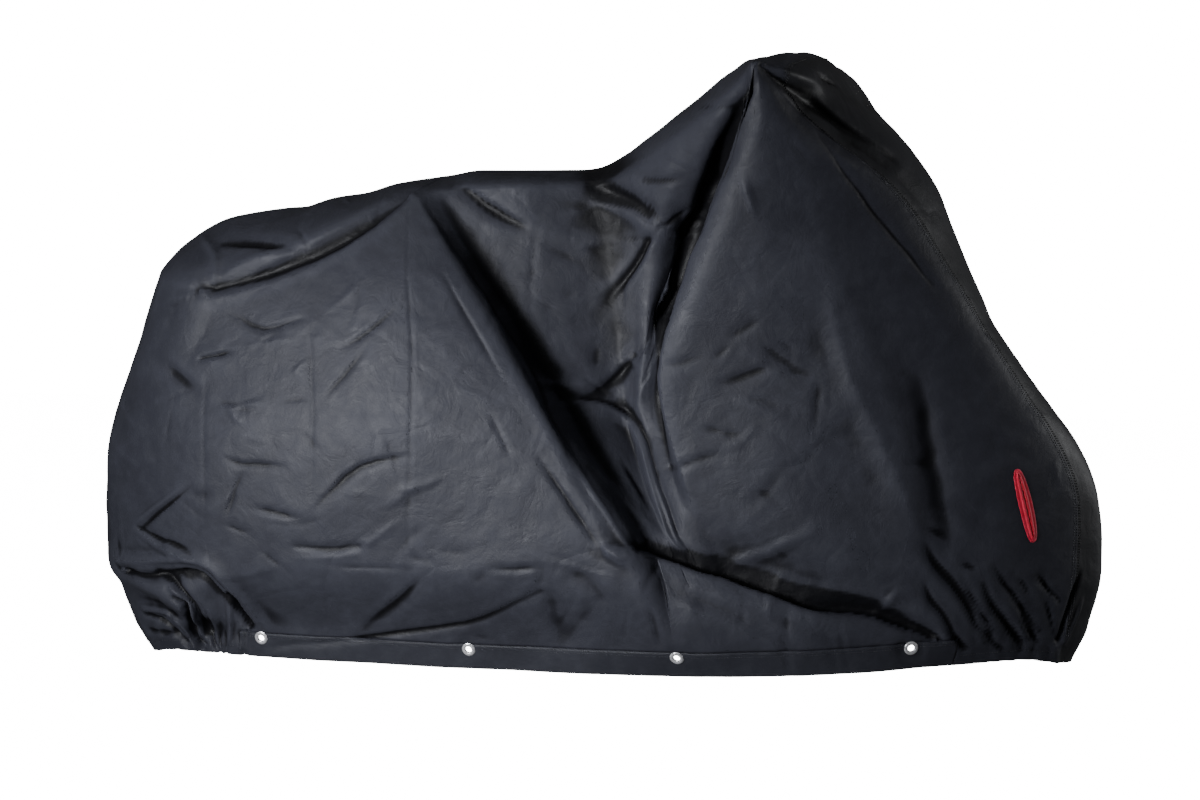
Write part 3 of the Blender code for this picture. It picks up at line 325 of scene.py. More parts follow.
    "rear pleat one": (((-0.11, 0.175), (-0.105, 0.14)), -0.0052, 0.005, 0.005, 0.001, 0.3, 0.9),
    "rear pleat two": (((-0.095, 0.18), (-0.095, 0.14)), -0.0052, 0.005, 0.005, 0.001, 0.3, 0.9),
    "rear pleat three": (((-0.065, 0.18), (-0.06, 0.14)), -0.0052, 0.005, 0.005, 0.001, 0.3, 0.9),
    "rear pleat four": (((-0.05, 0.19), (-0.055, 0.14)), -0.0044, 0.005, 0.005, 0.001, 0.3, 0.9),
    "rear notch": (((-0.305, 0.285), (-0.26, 0.285)), -0.008, 0.008, 0.009, 0.0008, 1.0, 0.3),
    "rear upper ridge": (((-0.255, 0.355), (-0.205, 0.335), (-0.15, 0.32), (-0.13, 0.315)),
        0.004, 0.01, 0.007, 0.0008, 0.4, 0.4),
    "rear upper band": (((-0.255, 0.365), (-0.21, 0.35), (-0.165, 0.34), (-0.135, 0.33)),
        -0.005, 0.011, 0.006, 0.0008, 0.4, 0.3),
    "rear line": (((-0.26, 0.37), (-0.21, 0.4), (-0.135, 0.455)), 0.003, 0.006, 0.006, 0.0008, 0.4, 0.2),
    "rear line groove": (((-0.25, 0.36), (-0.2, 0.395), (-0.125, 0.45)),
        -0.004, 0.006, 0.009, 0.0008, 0.4, 0.2),
    "bar fold": (((0.86, 1.13), (0.835, 1.095), (0.815, 1.055), (0.79, 1.01), (0.755, 0.94),
        (0.725, 0.885)), -0.009, 0.01, 0.022, 0.002, 0.1, 1.0),
    "neck hollow": (((0.735, 0.9), (0.71, 0.82), (0.69, 0.765), (0.665, 0.715)),
        -0.018, 0.02, 0.06, 0.006, 0.9, 0.4),
    "front gather one": (((1.02, 0.28), (1.06, 0.265), (1.11, 0.245), (1.125, 0.23)),
        -0.0055, 0.0064, 0.0076, 0.0015, 0.3, 0.6),
    "front gather two": (((1.085, 0.27), (1.115, 0.255), (1.15, 0.23)),
        -0.0046, 0.006, 0.0076, 0.001, 0.3, 0.6),
    "front gather three": (((1.125, 0.325), (1.135, 0.3), (1.155, 0.275), (1.175, 0.24), (1.19, 0.215)),
        -0.0065, 0.0076, 0.008, 0.0015, 0.3, 0.8),
    "front gather four": (((1.125, 0.395), (1.14, 0.365), (1.16, 0.34), (1.18, 0.315), (1.2, 0.28),
        (1.21, 0.25)), -0.0073, 0.0119, 0.0144, 0.003, 0.3, 0.5),
    "front gather five": (((1.185, 0.36), (1.205, 0.35)), -0.0046, 0.0064, 0.0076, 0.001, 0.3, 0.5),
    "front gather six": (((1.22, 0.325), (1.24, 0.28), (1.265, 0.25), (1.29, 0.22)),
        -0.0073, 0.0085, 0.0096, 0.002, 0.4, 0.8),
    "front gather seven": (((1.275, 0.33), (1.29, 0.305)), -0.0046, 0.0076, 0.0064, 0.001, 0.4, 0.4),
    "front gather eight": (((1.28, 0.285), (1.29, 0.25), (1.31, 0.22)),
        -0.0065, 0.0076, 0.0072, 0.0015, 0.3, 0.8),
    "front gather nine": (((1.305, 0.335), (1.32, 0.315), (1.345, 0.285)),
        -0.0055, 0.008, 0.006, 0.001, 0.4, 0.4),
    "front gather ten": (((1.375, 0.33), (1.36, 0.275), (1.345, 0.22)),
        -0.0083, 0.0068, 0.0112, 0.002, 0.3, 0.9),
    "front gather crest": (((1.38, 0.285), (1.37, 0.25), (1.355, 0.215)),
        0.0046, 0.0068, 0.0064, 0.0015, 0.3, 0.7),
    "front gather eleven": (((1.215, 0.25), (1.25, 0.21)), -0.0055, 0.0064, 0.0068, 0.001, 0.4, 0.7),
    "front gather twelve": (((1.16, 0.245), (1.2, 0.215)), -0.0046, 0.006, 0.0068, 0.001, 0.3, 0.7),
    "front gather thirteen": (((1.25, 0.265), (1.27, 0.235), (1.285, 0.205)),
        -0.0055, 0.0068, 0.0064, 0.0015, 0.3, 0.8),
    "front gather fourteen": (((1.185, 0.335), (1.21, 0.29), (1.24, 0.235)),
        -0.0055, 0.008, 0.007, 0.001, 0.3, 0.7),
    "front gather fifteen": (((1.235, 0.355), (1.265, 0.305), (1.315, 0.235)),
        -0.0055, 0.008, 0.007, 0.001, 0.3, 0.7),
    "front gather sixteen": (((1.32, 0.29), (1.33, 0.255), (1.34, 0.22)),
        -0.005, 0.007, 0.006, 0.001, 0.3, 0.8),
    "front gather light one": (((1.165, 0.32), (1.195, 0.27), (1.22, 0.225)),
        0.0035, 0.006, 0.007, 0.001, 0.3, 0.7),
    "front gather light two": (((1.25, 0.3), (1.28, 0.255), (1.295, 0.21)),
        0.0035, 0.006, 0.007, 0.001, 0.3, 0.7),
}
leftCreases = {
    "saddle crest": (((0.29, 0.935), (0.33, 0.76), (0.39, 0.56), (0.47, 0.36)),
        0.007, 0.03, 0.045, 0.002, 0.6, 0.3),
    "saddle valley": (((0.33, 0.93), (0.37, 0.76), (0.43, 0.56), (0.52, 0.35)),
        -0.011, 0.034, 0.018, 0.003, 0.4, 0.5),
    "saddle ray": (((0.36, 0.925), (0.48, 0.7), (0.6, 0.52), (0.7, 0.4)),
        0.006, 0.026, 0.018, 0.002, 0.5, 0.2),
    "recess shadow": (((0.46, 0.9), (0.56, 0.72), (0.66, 0.56)), -0.008, 0.03, 0.014, 0.003, 0.5, 0.3),
    "carrier shadow": (((-0.085, 0.79), (0.06, 0.842), (0.16, 0.892), (0.25, 0.945)),
        -0.008, 0.008, 0.026, 0.002, 0.9, 0.3),
    "carrier crest": (((-0.085, 0.812), (0.07, 0.864), (0.165, 0.908), (0.24, 0.955)),
        0.004, 0.018, 0.012, 0.003, 0.8, 0.3),
    "rear corner edge": (((-0.15, 0.872), (-0.11, 0.848), (-0.095, 0.8), (-0.1, 0.74)),
        0.006, 0.012, 0.014, 0.002, 0.4, 0.3),
    "rear hollow": (((-0.2, 0.7), (-0.12, 0.64)), -0.007, 0.022, 0.022, 0.01, 0.3, 0.3),
    "rear packing crease": (((-0.09, 0.69), (-0.095, 0.52), (-0.09, 0.33)),
        -0.002, 0.008, 0.006, 0.001, 0.2, 0.3),
    "carrier packing crease": (((0.11, 0.8), (0.115, 0.56), (0.11, 0.25)),
        -0.002, 0.009, 0.006, 0.001, 0.2, 0.3),
    "middle packing crease": (((0.3, 0.88), (0.305, 0.56), (0.3, 0.23)),
        -0.003, 0.008, 0.006, 0.001, 0.3, 0.3),
    "front packing crease": (((0.56, 0.86), (0.565, 0.56), (0.56, 0.25)),
        0.002, 0.008, 0.006, 0.001, 0.3, 0.3),
    "wheel tuck": (((-0.02, 0.56), (0.08, 0.52), (0.2, 0.56)), -0.006, 0.009, 0.028, 0.0015, 0.3, 0.3),
    "wheel pocket": (((0.06, 0.38), (0.15, 0.35), (0.23, 0.39)), -0.006, 0.012, 0.014, 0.003, 0.4, 0.4),
    "wheel ridge": (((-0.06, 0.45), (0.04, 0.43), (0.13, 0.45)), 0.005, 0.014, 0.02, 0.0015, 0.3, 0.2),
    "rear arc": (((-0.25, 0.38), (-0.16, 0.33), (-0.09, 0.29), (-0.04, 0.2)),
        0.007, 0.02, 0.012, 0.002, 0.6, 0.4),
    "rear pocket": (((-0.08, 0.29), (-0.055, 0.24), (-0.04, 0.18)), -0.011, 0.014, 0.016, 0.003, 0.6, 0.7),
    "rear gather one": (((-0.22, 0.3), (-0.17, 0.24), (-0.15, 0.16)),
        -0.006, 0.012, 0.014, 0.002, 0.3, 0.6),
    "rear gather two": (((-0.255, 0.22), (-0.2, 0.19), (-0.17, 0.15)),
        -0.005, 0.012, 0.012, 0.002, 0.4, 0.6),
    "hem shelf": (((0.02, 0.175), (0.18, 0.2), (0.34, 0.23), (0.48, 0.3)),
        -0.005, 0.006, 0.014, 0.0015, 0.4, 0.3),
    "pedal tuck": (((0.35, 0.33), (0.45, 0.36), (0.56, 0.33)), -0.006, 0.01, 0.024, 0.002, 0.3, 0.3),
    "pedal drop": (((0.45, 0.35), (0.47, 0.27), (0.46, 0.2)), -0.005, 0.014, 0.012, 0.002, 0.4, 0.3),
    "neck fall": (((0.72, 1.04), (0.7, 0.9), (0.67, 0.76), (0.62, 0.62)),
        -0.009, 0.014, 0.02, 0.002, 0.4, 0.3),
    "bar fold": (((0.905, 1.11), (0.86, 0.98), (0.81, 0.82), (0.77, 0.64)),
        -0.01, 0.014, 0.012, 0.002, 0.8, 0.3),
    "bar crest": (((0.94, 1.1), (0.9, 0.92), (0.87, 0.72), (0.85, 0.56)),
        0.008, 0.024, 0.03, 0.002, 0.6, 0.2),
    "fan ray one": (((0.96, 1.09), (0.98, 0.88), (1.0, 0.64), (1.01, 0.44)),
        0.006, 0.024, 0.02, 0.002, 0.5, 0.2),
    "fan ray two": (((0.985, 1.06), (1.05, 0.82), (1.11, 0.6), (1.14, 0.42)),
        -0.007, 0.014, 0.026, 0.002, 0.4, 0.4),
    "fan crumple one": (((0.7, 0.56), (0.78, 0.6), (0.86, 0.58)), -0.005, 0.01, 0.018, 0.001, 0.2, 0.3),
    "fan crumple two": (((0.82, 0.44), (0.9, 0.47), (0.98, 0.44)), -0.005, 0.01, 0.02, 0.001, 0.2, 0.3),
    "fan crumple three": (((0.9, 0.33), (0.98, 0.31), (1.06, 0.34)), 0.005, 0.014, 0.018, 0.0015, 0.3, 0.2),
    "bar shadow": (((0.96, 1.13), (1.01, 1.07), (1.08, 0.98)), -0.008, 0.012, 0.018, 0.003, 0.6, 0.2),
    "front gather one": (((1.13, 0.32), (1.15, 0.27), (1.18, 0.215)),
        -0.006, 0.016, 0.012, 0.002, 0.2, 0.7),
    "front gather two": (((1.2, 0.35), (1.225, 0.29), (1.245, 0.22)),
        -0.007, 0.014, 0.014, 0.002, 0.4, 0.7),
    "front gather three": (((1.28, 0.33), (1.295, 0.27), (1.3, 0.21)),
        -0.006, 0.012, 0.014, 0.002, 0.3, 0.7),
    "front gather four": (((1.35, 0.3), (1.345, 0.25), (1.34, 0.2)), -0.006, 0.012, 0.014, 0.002, 0.4, 0.5),
}

# short creases scattered over the places that show many: ends of the box in x and z, how many, their
# length, height, width, direction in degrees above +X and its spread
patchColumns = ("x", "z", "count", "length", "height", "width", "direction", "spread")
rightPatches = {
    "whole side": ((-0.3, 1.25), (0.2, 1.0), 36, 0.07, 0.0013, 0.013, 20.0, 90.0),
    "rear corner": ((-0.3, 0.0), (0.15, 0.6), 10, 0.08, 0.0021, 0.015, -35.0, 50.0),
    "fan": ((0.72, 1.0), (0.45, 0.78), 13, 0.07, 0.0019, 0.014, 15.0, 60.0),
    "neck": ((0.48, 0.74), (0.62, 0.98), 10, 0.06, 0.0022, 0.013, -60.0, 70.0),
    "under pedal": ((0.48, 1.1), (0.19, 0.36), 10, 0.07, 0.0019, 0.013, 80.0, 40.0),
    "carrier": ((-0.1, 0.4), (0.3, 0.8), 16, 0.08, 0.0017, 0.015, 20.0, 35.0),
    "top": ((-0.15, 0.55), (0.86, 1.0), 7, 0.06, 0.0013, 0.012, 20.0, 80.0),
    "front": ((1.0, 1.36), (0.2, 0.9), 10, 0.07, 0.0013, 0.013, -60.0, 40.0),
}
leftPatches = {
    "whole side": ((-0.3, 1.25), (0.2, 1.0), 44, 0.07, 0.0014, 0.013, 20.0, 90.0),
    "rear corner": ((-0.3, 0.0), (0.15, 0.6), 10, 0.08, 0.0021, 0.015, -35.0, 50.0),
    "middle": ((0.2, 1.05), (0.22, 0.8), 24, 0.08, 0.0019, 0.015, 10.0, 60.0),
    "front": ((1.0, 1.36), (0.2, 0.9), 10, 0.07, 0.0013, 0.013, -60.0, 40.0),
}

sides = {
    "right": {"lines": rightLines, "folds": rightFolds, "sign": -1.0, "creases": rightCreases,
              "patches": rightPatches, "seed": 11},
    "left": {"lines": leftLines, "folds": leftFolds, "sign": 1.0, "creases": leftCreases,
             "patches": leftPatches, "seed": 53},
}
for side in sides.values():
    side["names"] = list(side["lines"])
    side["last"] = len(side["lines"]) - 1


def slopes(knots, values, flatEnds):
    # harmonic mean of the steps on both sides, and zero where they turn, so nothing overshoots
    steps = np.diff(values, axis=0) / np.diff(knots).reshape(-1, *[1] * (values.ndim - 1))
    before, after = steps[:-1], steps[1:]
    turning = before * after <= 0.0
    total = np.where(turning, 1.0, before + after)
    inner = np.where(turning, 0.0, 2.0 * before * after / total)
    first = 0.0 if flatEnds[0] else 1.0
    last = 0.0 if flatEnds[1] else 1.0
    return np.concatenate([steps[:1] * first, inner, steps[-1:] * last])


def follow(knots, values, where, flatEnds=(False, False)):
    # cubic Hermite through the values at the knots: start (1+2t)(1-t)^2 + end t^2(3-2t) + slope terms
    knots = np.asarray(knots, float)
    values = np.asarray(values, float)
    where = np.clip(np.asarray(where, float), knots[0], knots[-1])
    rates = slopes(knots, values, flatEnds)
    piece = np.clip(np.searchsorted(knots, where, side="right") - 1, 0, len(knots) - 2)
    width = knots[piece + 1] - knots[piece]
    t = (where - knots[piece]) / width
    if values.ndim == 1:
        start, end, rate0, rate1 = values[piece], values[piece + 1], rates[piece], rates[piece + 1]
    else:
        start, end, rate0, rate1 = [np.take_along_axis(table, (piece + step)[None], axis=0)[0]
                                    for table in (values, rates) for step in (0, 1)]
    return (start * (1.0 + 2.0 * t) * (1.0 - t) ** 2 + end * t * t * (3.0 - 2.0 * t)
            + width * (rate0 * t * (1.0 - t) ** 2 - rate1 * t * t * (1.0 - t)))


def smoothStep(value):
    # 3t^2 - 2t^3 between 0 and 1
    value = np.clip(value, 0.0, 1.0)
    return value * value * (3.0 - 2.0 * value)


def unit(vectors):
    return vectors / np.maximum(np.linalg.norm(vectors, axis=-1, keepdims=True), 1e-12)


def pathDistance(path, x, z, leanX=0.0, leanZ=0.0, cuts=6):
    # distance to the nearest point of a smooth path drawn on the side view, stretched by how steeply
    # the cloth leans there: sqrt(dx^2 + dz^2 + (leanX dx + leanZ dz)^2); side is +1 on the path's right
    points = np.array(path, float)
    marks = np.linspace(0.0, 1.0, len(points))
    along = np.linspace(0.0, 1.0, cuts * (len(points) - 1) + 1)
    curve = np.stack([follow(marks, points[:, axis], along) for axis in (0, 1)], axis=-1)
    nearest = np.full(np.shape(x), 1.0e9)
    side = np.zeros(np.shape(x))
    share = np.zeros(np.shape(x))
    for index in range(len(curve) - 1):
        start, step = curve[index], curve[index + 1] - curve[index]
        dx, dz = x - start[0], z - start[1]
        t = np.clip((dx * step[0] + dz * step[1]) / (step @ step), 0.0, 1.0)
        awayX, awayZ = dx - t * step[0], dz - t * step[1]
        away = np.sqrt(awayX ** 2 + awayZ ** 2 + (leanX * awayX + leanZ * awayZ) ** 2)
        closer = away < nearest
        nearest = np.where(closer, away, nearest)
        side = np.where(closer, np.sign(dx * step[1] - dz * step[0]), side)
        share = np.where(closer, along[index] + t * (along[index + 1] - along[index]), share)
    return nearest, side, share


def waves(x, z, seed, longest, shortest, count=24):
    # sum of sines in seeded directions, with lengths spread evenly from longest to shortest, about +-1
    chance = np.random.default_rng(seed)
    total = np.zeros(np.shape(x))
    for share in np.linspace(0.0, 1.0, count):
        length = longest * (shortest / longest) ** share
        turn, phase = chance.uniform(0.0, 2.0 * math.pi, 2)
        total += np.sin(2.0 * math.pi * (x * math.cos(turn) + z * math.sin(turn)) / length + phase)
    return total / math.sqrt(count)


# the hung cloth is a surface of u, round it by tension line, and v, from hem to ridge

def lineAt(side, name, u, flat=False):
    # one column of the tension lines, read between the lines at u
    column = [row[lineColumns.index(name)] for row in side["lines"].values()]
    return follow(np.arange(len(column)), column, u, (flat, flat))


def bandTop(side, u):
    # the level at which the hem band ends: its height as a share of the height to the shoulder
    hemZ = follow(hemLine["x"], hemLine["z"], lineAt(side, "hemX", u, True))
    return drape["shoulderLevel"] * drape["hemBand"] / (lineAt(side, "shoulderZ", u, True) - hemZ)


def drapedCloth(side, u, v):
    # x, z and half width interpolated up each tension line, with the skirt flared out above the hem,
    # and x then moved near the front and the rear edge
    s = drape["shoulderLevel"]
    levels = [*(s * share for share in drape["sideShares"]), 1.0]
    x = [lineAt(side, name, u, True) for name in ("hemX", "lowX", "midX", "highX", "shoulderX", "topX")]
    w = [lineAt(side, name, u) for name in ("hemW", "lowW", "midW", "highW", "shoulderW")]
    hemZ = follow(hemLine["x"], hemLine["z"], x[0])
    topZ = follow(ridgeLine["x"], ridgeLine["z"], x[-1])
    shoulderZ = lineAt(side, "shoulderZ", u, True)
    px = follow(levels, np.stack(x), v, (False, True))
    nearRear = smoothStep(1.0 - u / drape["rearReach"])
    nearFront = smoothStep((u - side["names"].index("front side")) / drape["frontReach"])
    px = px - drape["frontBow"] * nearFront * np.sin(2.0 * math.pi * np.clip(2.0 * v / s - 1.0, 0.0, 1.0))
    widths = np.stack([w[0], drape["skirtFlare"] * w[0], *w[1:], np.zeros(np.shape(u))])
    pw = follow([0.0, drape["skirtLevel"], *levels[1:]], widths, v)
    straight = [hemZ + share * (shoulderZ - hemZ) for share in drape["sideShares"]]
    pz = follow(levels, np.stack([*straight, topZ]), v, (False, True))
    for near, trim in ((nearRear, edgeTrim["rear"]), (nearFront, edgeTrim["front"])):
        px = px + near * follow(trim["z"], trim["x"], pz)
    return np.stack([px, side["sign"] * pw, pz], axis=-1)


def named(columns, table):
    # the rows of a table as dictionaries
    return [dict(zip(columns, row)) for row in table.values()]


def foldHeight(folds, x, z):
    # each broad fold is height * exp(-(distance / width)^2)
    total = np.zeros(np.shape(x))
    for fold in named(foldColumns, folds):
        away, hand, share = pathDistance(fold["path"], x, z)
        width = np.where(hand > 0.0, fold["ahead"], fold["behind"])
        strength = np.interp(share, [0.0, 0.3, 0.7, 1.0], [fold["start"], 1.0, 1.0, fold["end"]])
        total += fold["height"] * strength * np.exp(-((away / width) ** 2))
    return total


def gatherHeight(x, z):
    # sine pleats that fade up the cloth and away from the gathered ends of the hem
    total = np.zeros(np.shape(x))
    for gather in gathers.values():
        share = (x - gather["fromX"]) / (gather["toX"] - gather["fromX"])
        rise = (z - follow(hemLine["x"], hemLine["z"], x)) / gather["height"]
        fade = smoothStep(1.3 - share) * smoothStep(1.0 - rise) * smoothStep(share * 5.0)
        pleat = gather["pleats"] * (share + 0.16 * share * share - 0.10 * rise)
        turn = 2.0 * math.pi * pleat + gather["phase"]
        total += gather["depth"] * fade * (np.sin(turn) + 0.35 * np.sin(1.7 * turn + 0.8))
    return total


def creaseHeight(creases, x, z, leanX, leanZ):
    # each crease is a tent with hollow flanks: height * (1 - distance / width)^2 with a rounded crest
    total = np.zeros(np.shape(x))
    for row in creases:
        path = np.array(row["path"])
        reach = max(row["left"], row["right"]) + row["round"]
        near = ((x > path[:, 0].min() - reach) & (x < path[:, 0].max() + reach)
                & (z > path[:, 1].min() - reach) & (z < path[:, 1].max() + reach))
        if not near.any():
            continue
        away, hand, share = pathDistance(path, x[near], z[near], leanX[near], leanZ[near], 3)
        width = np.where(hand > 0.0, row["right"], row["left"])
        strength = np.interp(share, [0.0, 0.3, 0.7, 1.0], [row["start"], 1.0, 1.0, row["end"]])
        rounded = np.hypot(away, row["round"]) - row["round"]
        total[near] += row["height"] * strength * np.clip(1.0 - rounded / width, 0.0, 1.0) ** 2
    return total


def scatteredCreases(patches, seed):
    # short random creases, each with a middle, a turn, a bend and two widths drawn by chance
    chance = np.random.default_rng(seed)
    rows = []
    for patch in named(patchColumns, patches):
        for _ in range(patch["count"]):
            middle = np.array([chance.uniform(*patch["x"]), chance.uniform(*patch["z"])])
            turn = math.radians(patch["direction"] + patch["spread"] * chance.uniform(-1.0, 1.0))
            reach = 0.5 * patch["length"] * chance.uniform(0.45, 1.3)
            step = reach * np.array([math.cos(turn), math.sin(turn)])
            bend = 0.18 * chance.uniform(-1.0, 1.0) * np.array([-step[1], step[0]])
            width = patch["width"] * chance.uniform(0.6, 1.3)
            rows.append({
                "path": (tuple(middle - step), tuple(middle + bend), tuple(middle + step)),
                "height": patch["height"] * chance.uniform(0.4, 1.2) * chance.choice([-1.0, -1.0, 1.0]),
                "left": width * chance.uniform(0.5, 1.6), "right": width * chance.uniform(0.5, 1.6),
                "round": 0.0012, "start": chance.uniform(0.0, 0.4), "end": chance.uniform(0.0, 0.4),
            })
    return rows


grain = {
    "columns": 452, "noseColumns": 44,        # cells round the cloth, up to the nose seam and past it
    "bandRows": 9, "rows": 206,               # cells up the hem band and above it
    "warp": 0.0010, "warpLengths": (0.20, 0.06),    # how far creases wander from their drawn paths
    "facet": 0.0010, "facetLengths": (0.320, 0.110),
    "ripple": 0.00015, "rippleLengths": (0.080, 0.030),
    "streak": 0.00012, "streakLengths": (0.20, 0.03), "streakAround": 0.16, "streakUp": 0.05,
    "gather": 0.15,                           # the even pleats of the part give way to drawn ones
    "foldFade": 0.050, "edgeFade": 0.030,     # folds and creases die out this near the centre plane
    "leastFacing": 0.16, "mostLean": 6.0,     # limits on how steeply the cloth counts as leaning
    "middleRow": 90,                          # the row along which the weave runs true
}

# rings of neighbours, in cells, that a point is compared with, the border left out, the blurs and the
# depth that counts as full
cavities = {
    "hollow": {"ring": ((6, 0), (0, 6), (-6, 0), (0, -6)), "border": 6, "blurs": 0, "full": 0.004},
    "groove": {"ring": ((2, 0), (-2, 0), (0, 2), (0, -2), (1, 1), (1, -1), (-1, 1), (-1, -1)),
               "border": 3, "blurs": 1, "full": 0.001},
}


def evenly(lengths, values, count):
    # values at even steps of a running length
    return np.interp(np.linspace(0.0, lengths[-1], count), lengths, values)


def runningLength(points, axis):
    # distances between neighbours added up along one axis of the grid
    steps = np.linalg.norm(np.diff(points, axis=axis), axis=-1)
    steps = np.concatenate([np.zeros_like(steps.take([0], axis)), steps], axis=axis)
    return np.cumsum(steps, axis=axis)


def evenColumns(side, start, end, count):
    # u at even mean distance round the cloth at four heights
    fine, levels = np.meshgrid(np.linspace(start, end, 900), (0.10, 0.35, 0.60, 0.85), indexing="ij")
    around = runningLength(drapedCloth(side, fine, levels), 0).mean(axis=1)
    return evenly(around, fine[:, 0], count + 1)


def gridLevels(side, columns):
    # rows through the hem band, then at even mean distance up to the ridge
    share = np.linspace(0.0, 1.0, 400)
    fine, levels = np.meshgrid(np.linspace(1.0, side["last"] - 1.0, 60), share, indexing="ij")
    band = bandTop(side, fine)
    up = runningLength(drapedCloth(side, fine, band + (1.0 - band) * levels), 1).mean(axis=0)
    rows = evenly(up, share, grain["rows"] + 1)
    band = bandTop(side, columns)[:, None]
    lower = band * np.linspace(0.0, 1.0, grain["bandRows"] + 1)[None, :-1]
    return np.concatenate([lower, band + (1.0 - band) * rows[None, :]], axis=1)


def gridNormals(points, sign):
    # cross product of the grid's two tangents, laid flat where the cloth crosses the centre plane
    normals = np.cross(np.gradient(points, axis=0), np.gradient(points, axis=1)) * -sign
    onPlane = np.abs(points[..., 1]) < 1e-6
    normals[..., 1] = np.where(onPlane, 0.0, normals[..., 1])
    bad = np.linalg.norm(normals, axis=-1) < 1e-12
    normals[bad] = (0.0, 0.0, 1.0)
    return unit(normals)


def triangleWave(turns):
    # straight up and down between -1 and 1 once in each turn
    return 4.0 * np.abs(turns - np.floor(turns + 0.5)) - 1.0


def facetHeight(x, z, seed, longest, shortest, count=7):
    # sum of triangle waves in seeded directions, each switched on and off by slow waves, so that
    # flat facets meet at short crisp lines
    chance = np.random.default_rng(seed)
    total = np.zeros(np.shape(x))
    for share in np.linspace(0.0, 1.0, count):
        length = longest * (shortest / longest) ** share
        turn, phase = chance.uniform(0.0, math.pi), chance.uniform(0.0, 1.0)
        bent = 0.10 * waves(x, z, seed + 31 + int(100 * share), 2.2 * length, 0.9 * length, 6)
        wave = triangleWave((x * math.cos(turn) + z * math.sin(turn)) / length + phase + bent)
        slow = waves(x, z, seed + 77 + int(100 * share), 3.0 * length, 1.2 * length, 8)
        total += wave * smoothStep(0.5 + 0.9 * slow) * length / longest
    return total


def anchors(hand):
    # eyelets of one side: the middle of the flange's face and its axis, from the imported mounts
    mounts = [mount for mount in frame["record"]["mounts"] if mount["name"].startswith(hand + "_eyelet")]
    return {mount["name"].removesuffix("_face"): (np.array(mount["pos_m"]) + tableOrigin,
                                                  np.array(mount["axis"])) for mount in mounts}


def nodeMiddle(name):
    # the middle of a solid's box, on the axes of the tables
    low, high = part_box(name)
    return (np.array(low) + np.array(high)) / 2.0 + tableOrigin


def slotAxes(normal, tilt, sign):
    # X runs down the slot, Z out of the cloth
    level = unit(np.array([1.0, 0.0, 0.0]) - normal * normal[0])
    up = np.cross(normal, level)
    lean = math.radians(90.0) - sign * math.radians(tilt)
    along = math.cos(lean) * level + math.sin(lean) * up
    return np.stack([along, np.cross(normal, along), normal])


def smoothPatch(points, middle, axes):
    # least-squares quadratic height over the slot's plane, fitted to the cloth around it
    local = (points.reshape(-1, 3) - middle) @ axes.T
    near = np.linalg.norm(local[:, :2], axis=1) < lockSlot["fitReach"]
    near &= np.abs(local[:, 2]) < lockSlot["fitDepth"]
    a, b, h = local[near].T
    terms = np.stack([np.ones_like(a), a, b, a * a, a * b, b * b], axis=1)
    return np.linalg.lstsq(terms, h, rcond=None)[0]


def patchHeight(fit, a, b):
    # the quadratic c0 + c1 a + c2 b + c3 a^2 + c4 a b + c5 b^2
    return fit[0] + fit[1] * a + fit[2] * b + fit[3] * a * a + fit[4] * a * b + fit[5] * b * b


def foldedGrid(side):
    # the draped cloth on the grid, moved along its normals by the broad folds and a little by the gathers
    seam = side["names"].index("nose seam")
    u = np.concatenate([evenColumns(side, 0.0, seam, grain["columns"]),
                        evenColumns(side, seam, side["last"], grain["noseColumns"])[1:]])
    v = gridLevels(side, u)
    grid = np.repeat(u[:, None], v.shape[1], axis=1)
    base = drapedCloth(side, grid, v)
    height = foldHeight(side["folds"], base[..., 0], base[..., 2])
    height += grain["gather"] * gatherHeight(base[..., 0], base[..., 2])
    height *= smoothStep(np.abs(base[..., 1]) / grain["foldFade"])
    return u, v, grid, base + gridNormals(base, side["sign"]) * height[..., None]


def detailHeight(side, creases, grid, v, folded, normals, along, up):
    # creases, facets, ripples and streaks added up as one height, fading out near the centre plane
    x, z = folded[..., 0], folded[..., 2]
    seed = side["seed"]
    wanderX = x + grain["warp"] * waves(x, z, seed, *grain["warpLengths"])
    wanderZ = z + grain["warp"] * waves(x, z, seed + 1, *grain["warpLengths"])
    least, most = grain["leastFacing"] * side["sign"], grain["mostLean"]
    facing = np.where(np.abs(normals[..., 1]) < abs(least), least, normals[..., 1])
    leanX, leanZ = (np.clip(-normals[..., axis] / facing, -most, most) for axis in (0, 2))
    detail = creaseHeight(creases, wanderX, wanderZ, leanX, leanZ)
    detail += grain["facet"] * facetHeight(wanderX, up, seed + 3, *grain["facetLengths"])
    detail += grain["ripple"] * waves(x, up, seed + 5, *grain["rippleLengths"])
    even = np.gradient(along[:, grain["middleRow"]])[:, None]
    tight = np.clip(np.gradient(along, axis=0) / even, 0.2, 1.5)
    detail += grain["streak"] * tight * waves(grid * grain["streakAround"], v * grain["streakUp"], seed + 6,
                                              *grain["streakLengths"])
    return detail * smoothStep(np.abs(folded[..., 1]) / grain["edgeFade"])


def calmCloth(hand, folded):
    # 0 beside the lock slot and the eyelets, where the cloth has no creases, rising to 1 away from them
    away = np.linalg.norm((folded - nodeMiddle(hand + "_lock_slot")) * lockSlot["calmShape"], axis=-1)
    calm = smoothStep((away - lockSlot["calmFrom"]) / lockSlot["calmOver"])
    for place, _ in anchors(hand).values():
        away = np.linalg.norm(folded - place, axis=-1)
        calm *= smoothStep((away - eyelet["calmFrom"]) / eyelet["calmOver"])
    return calm


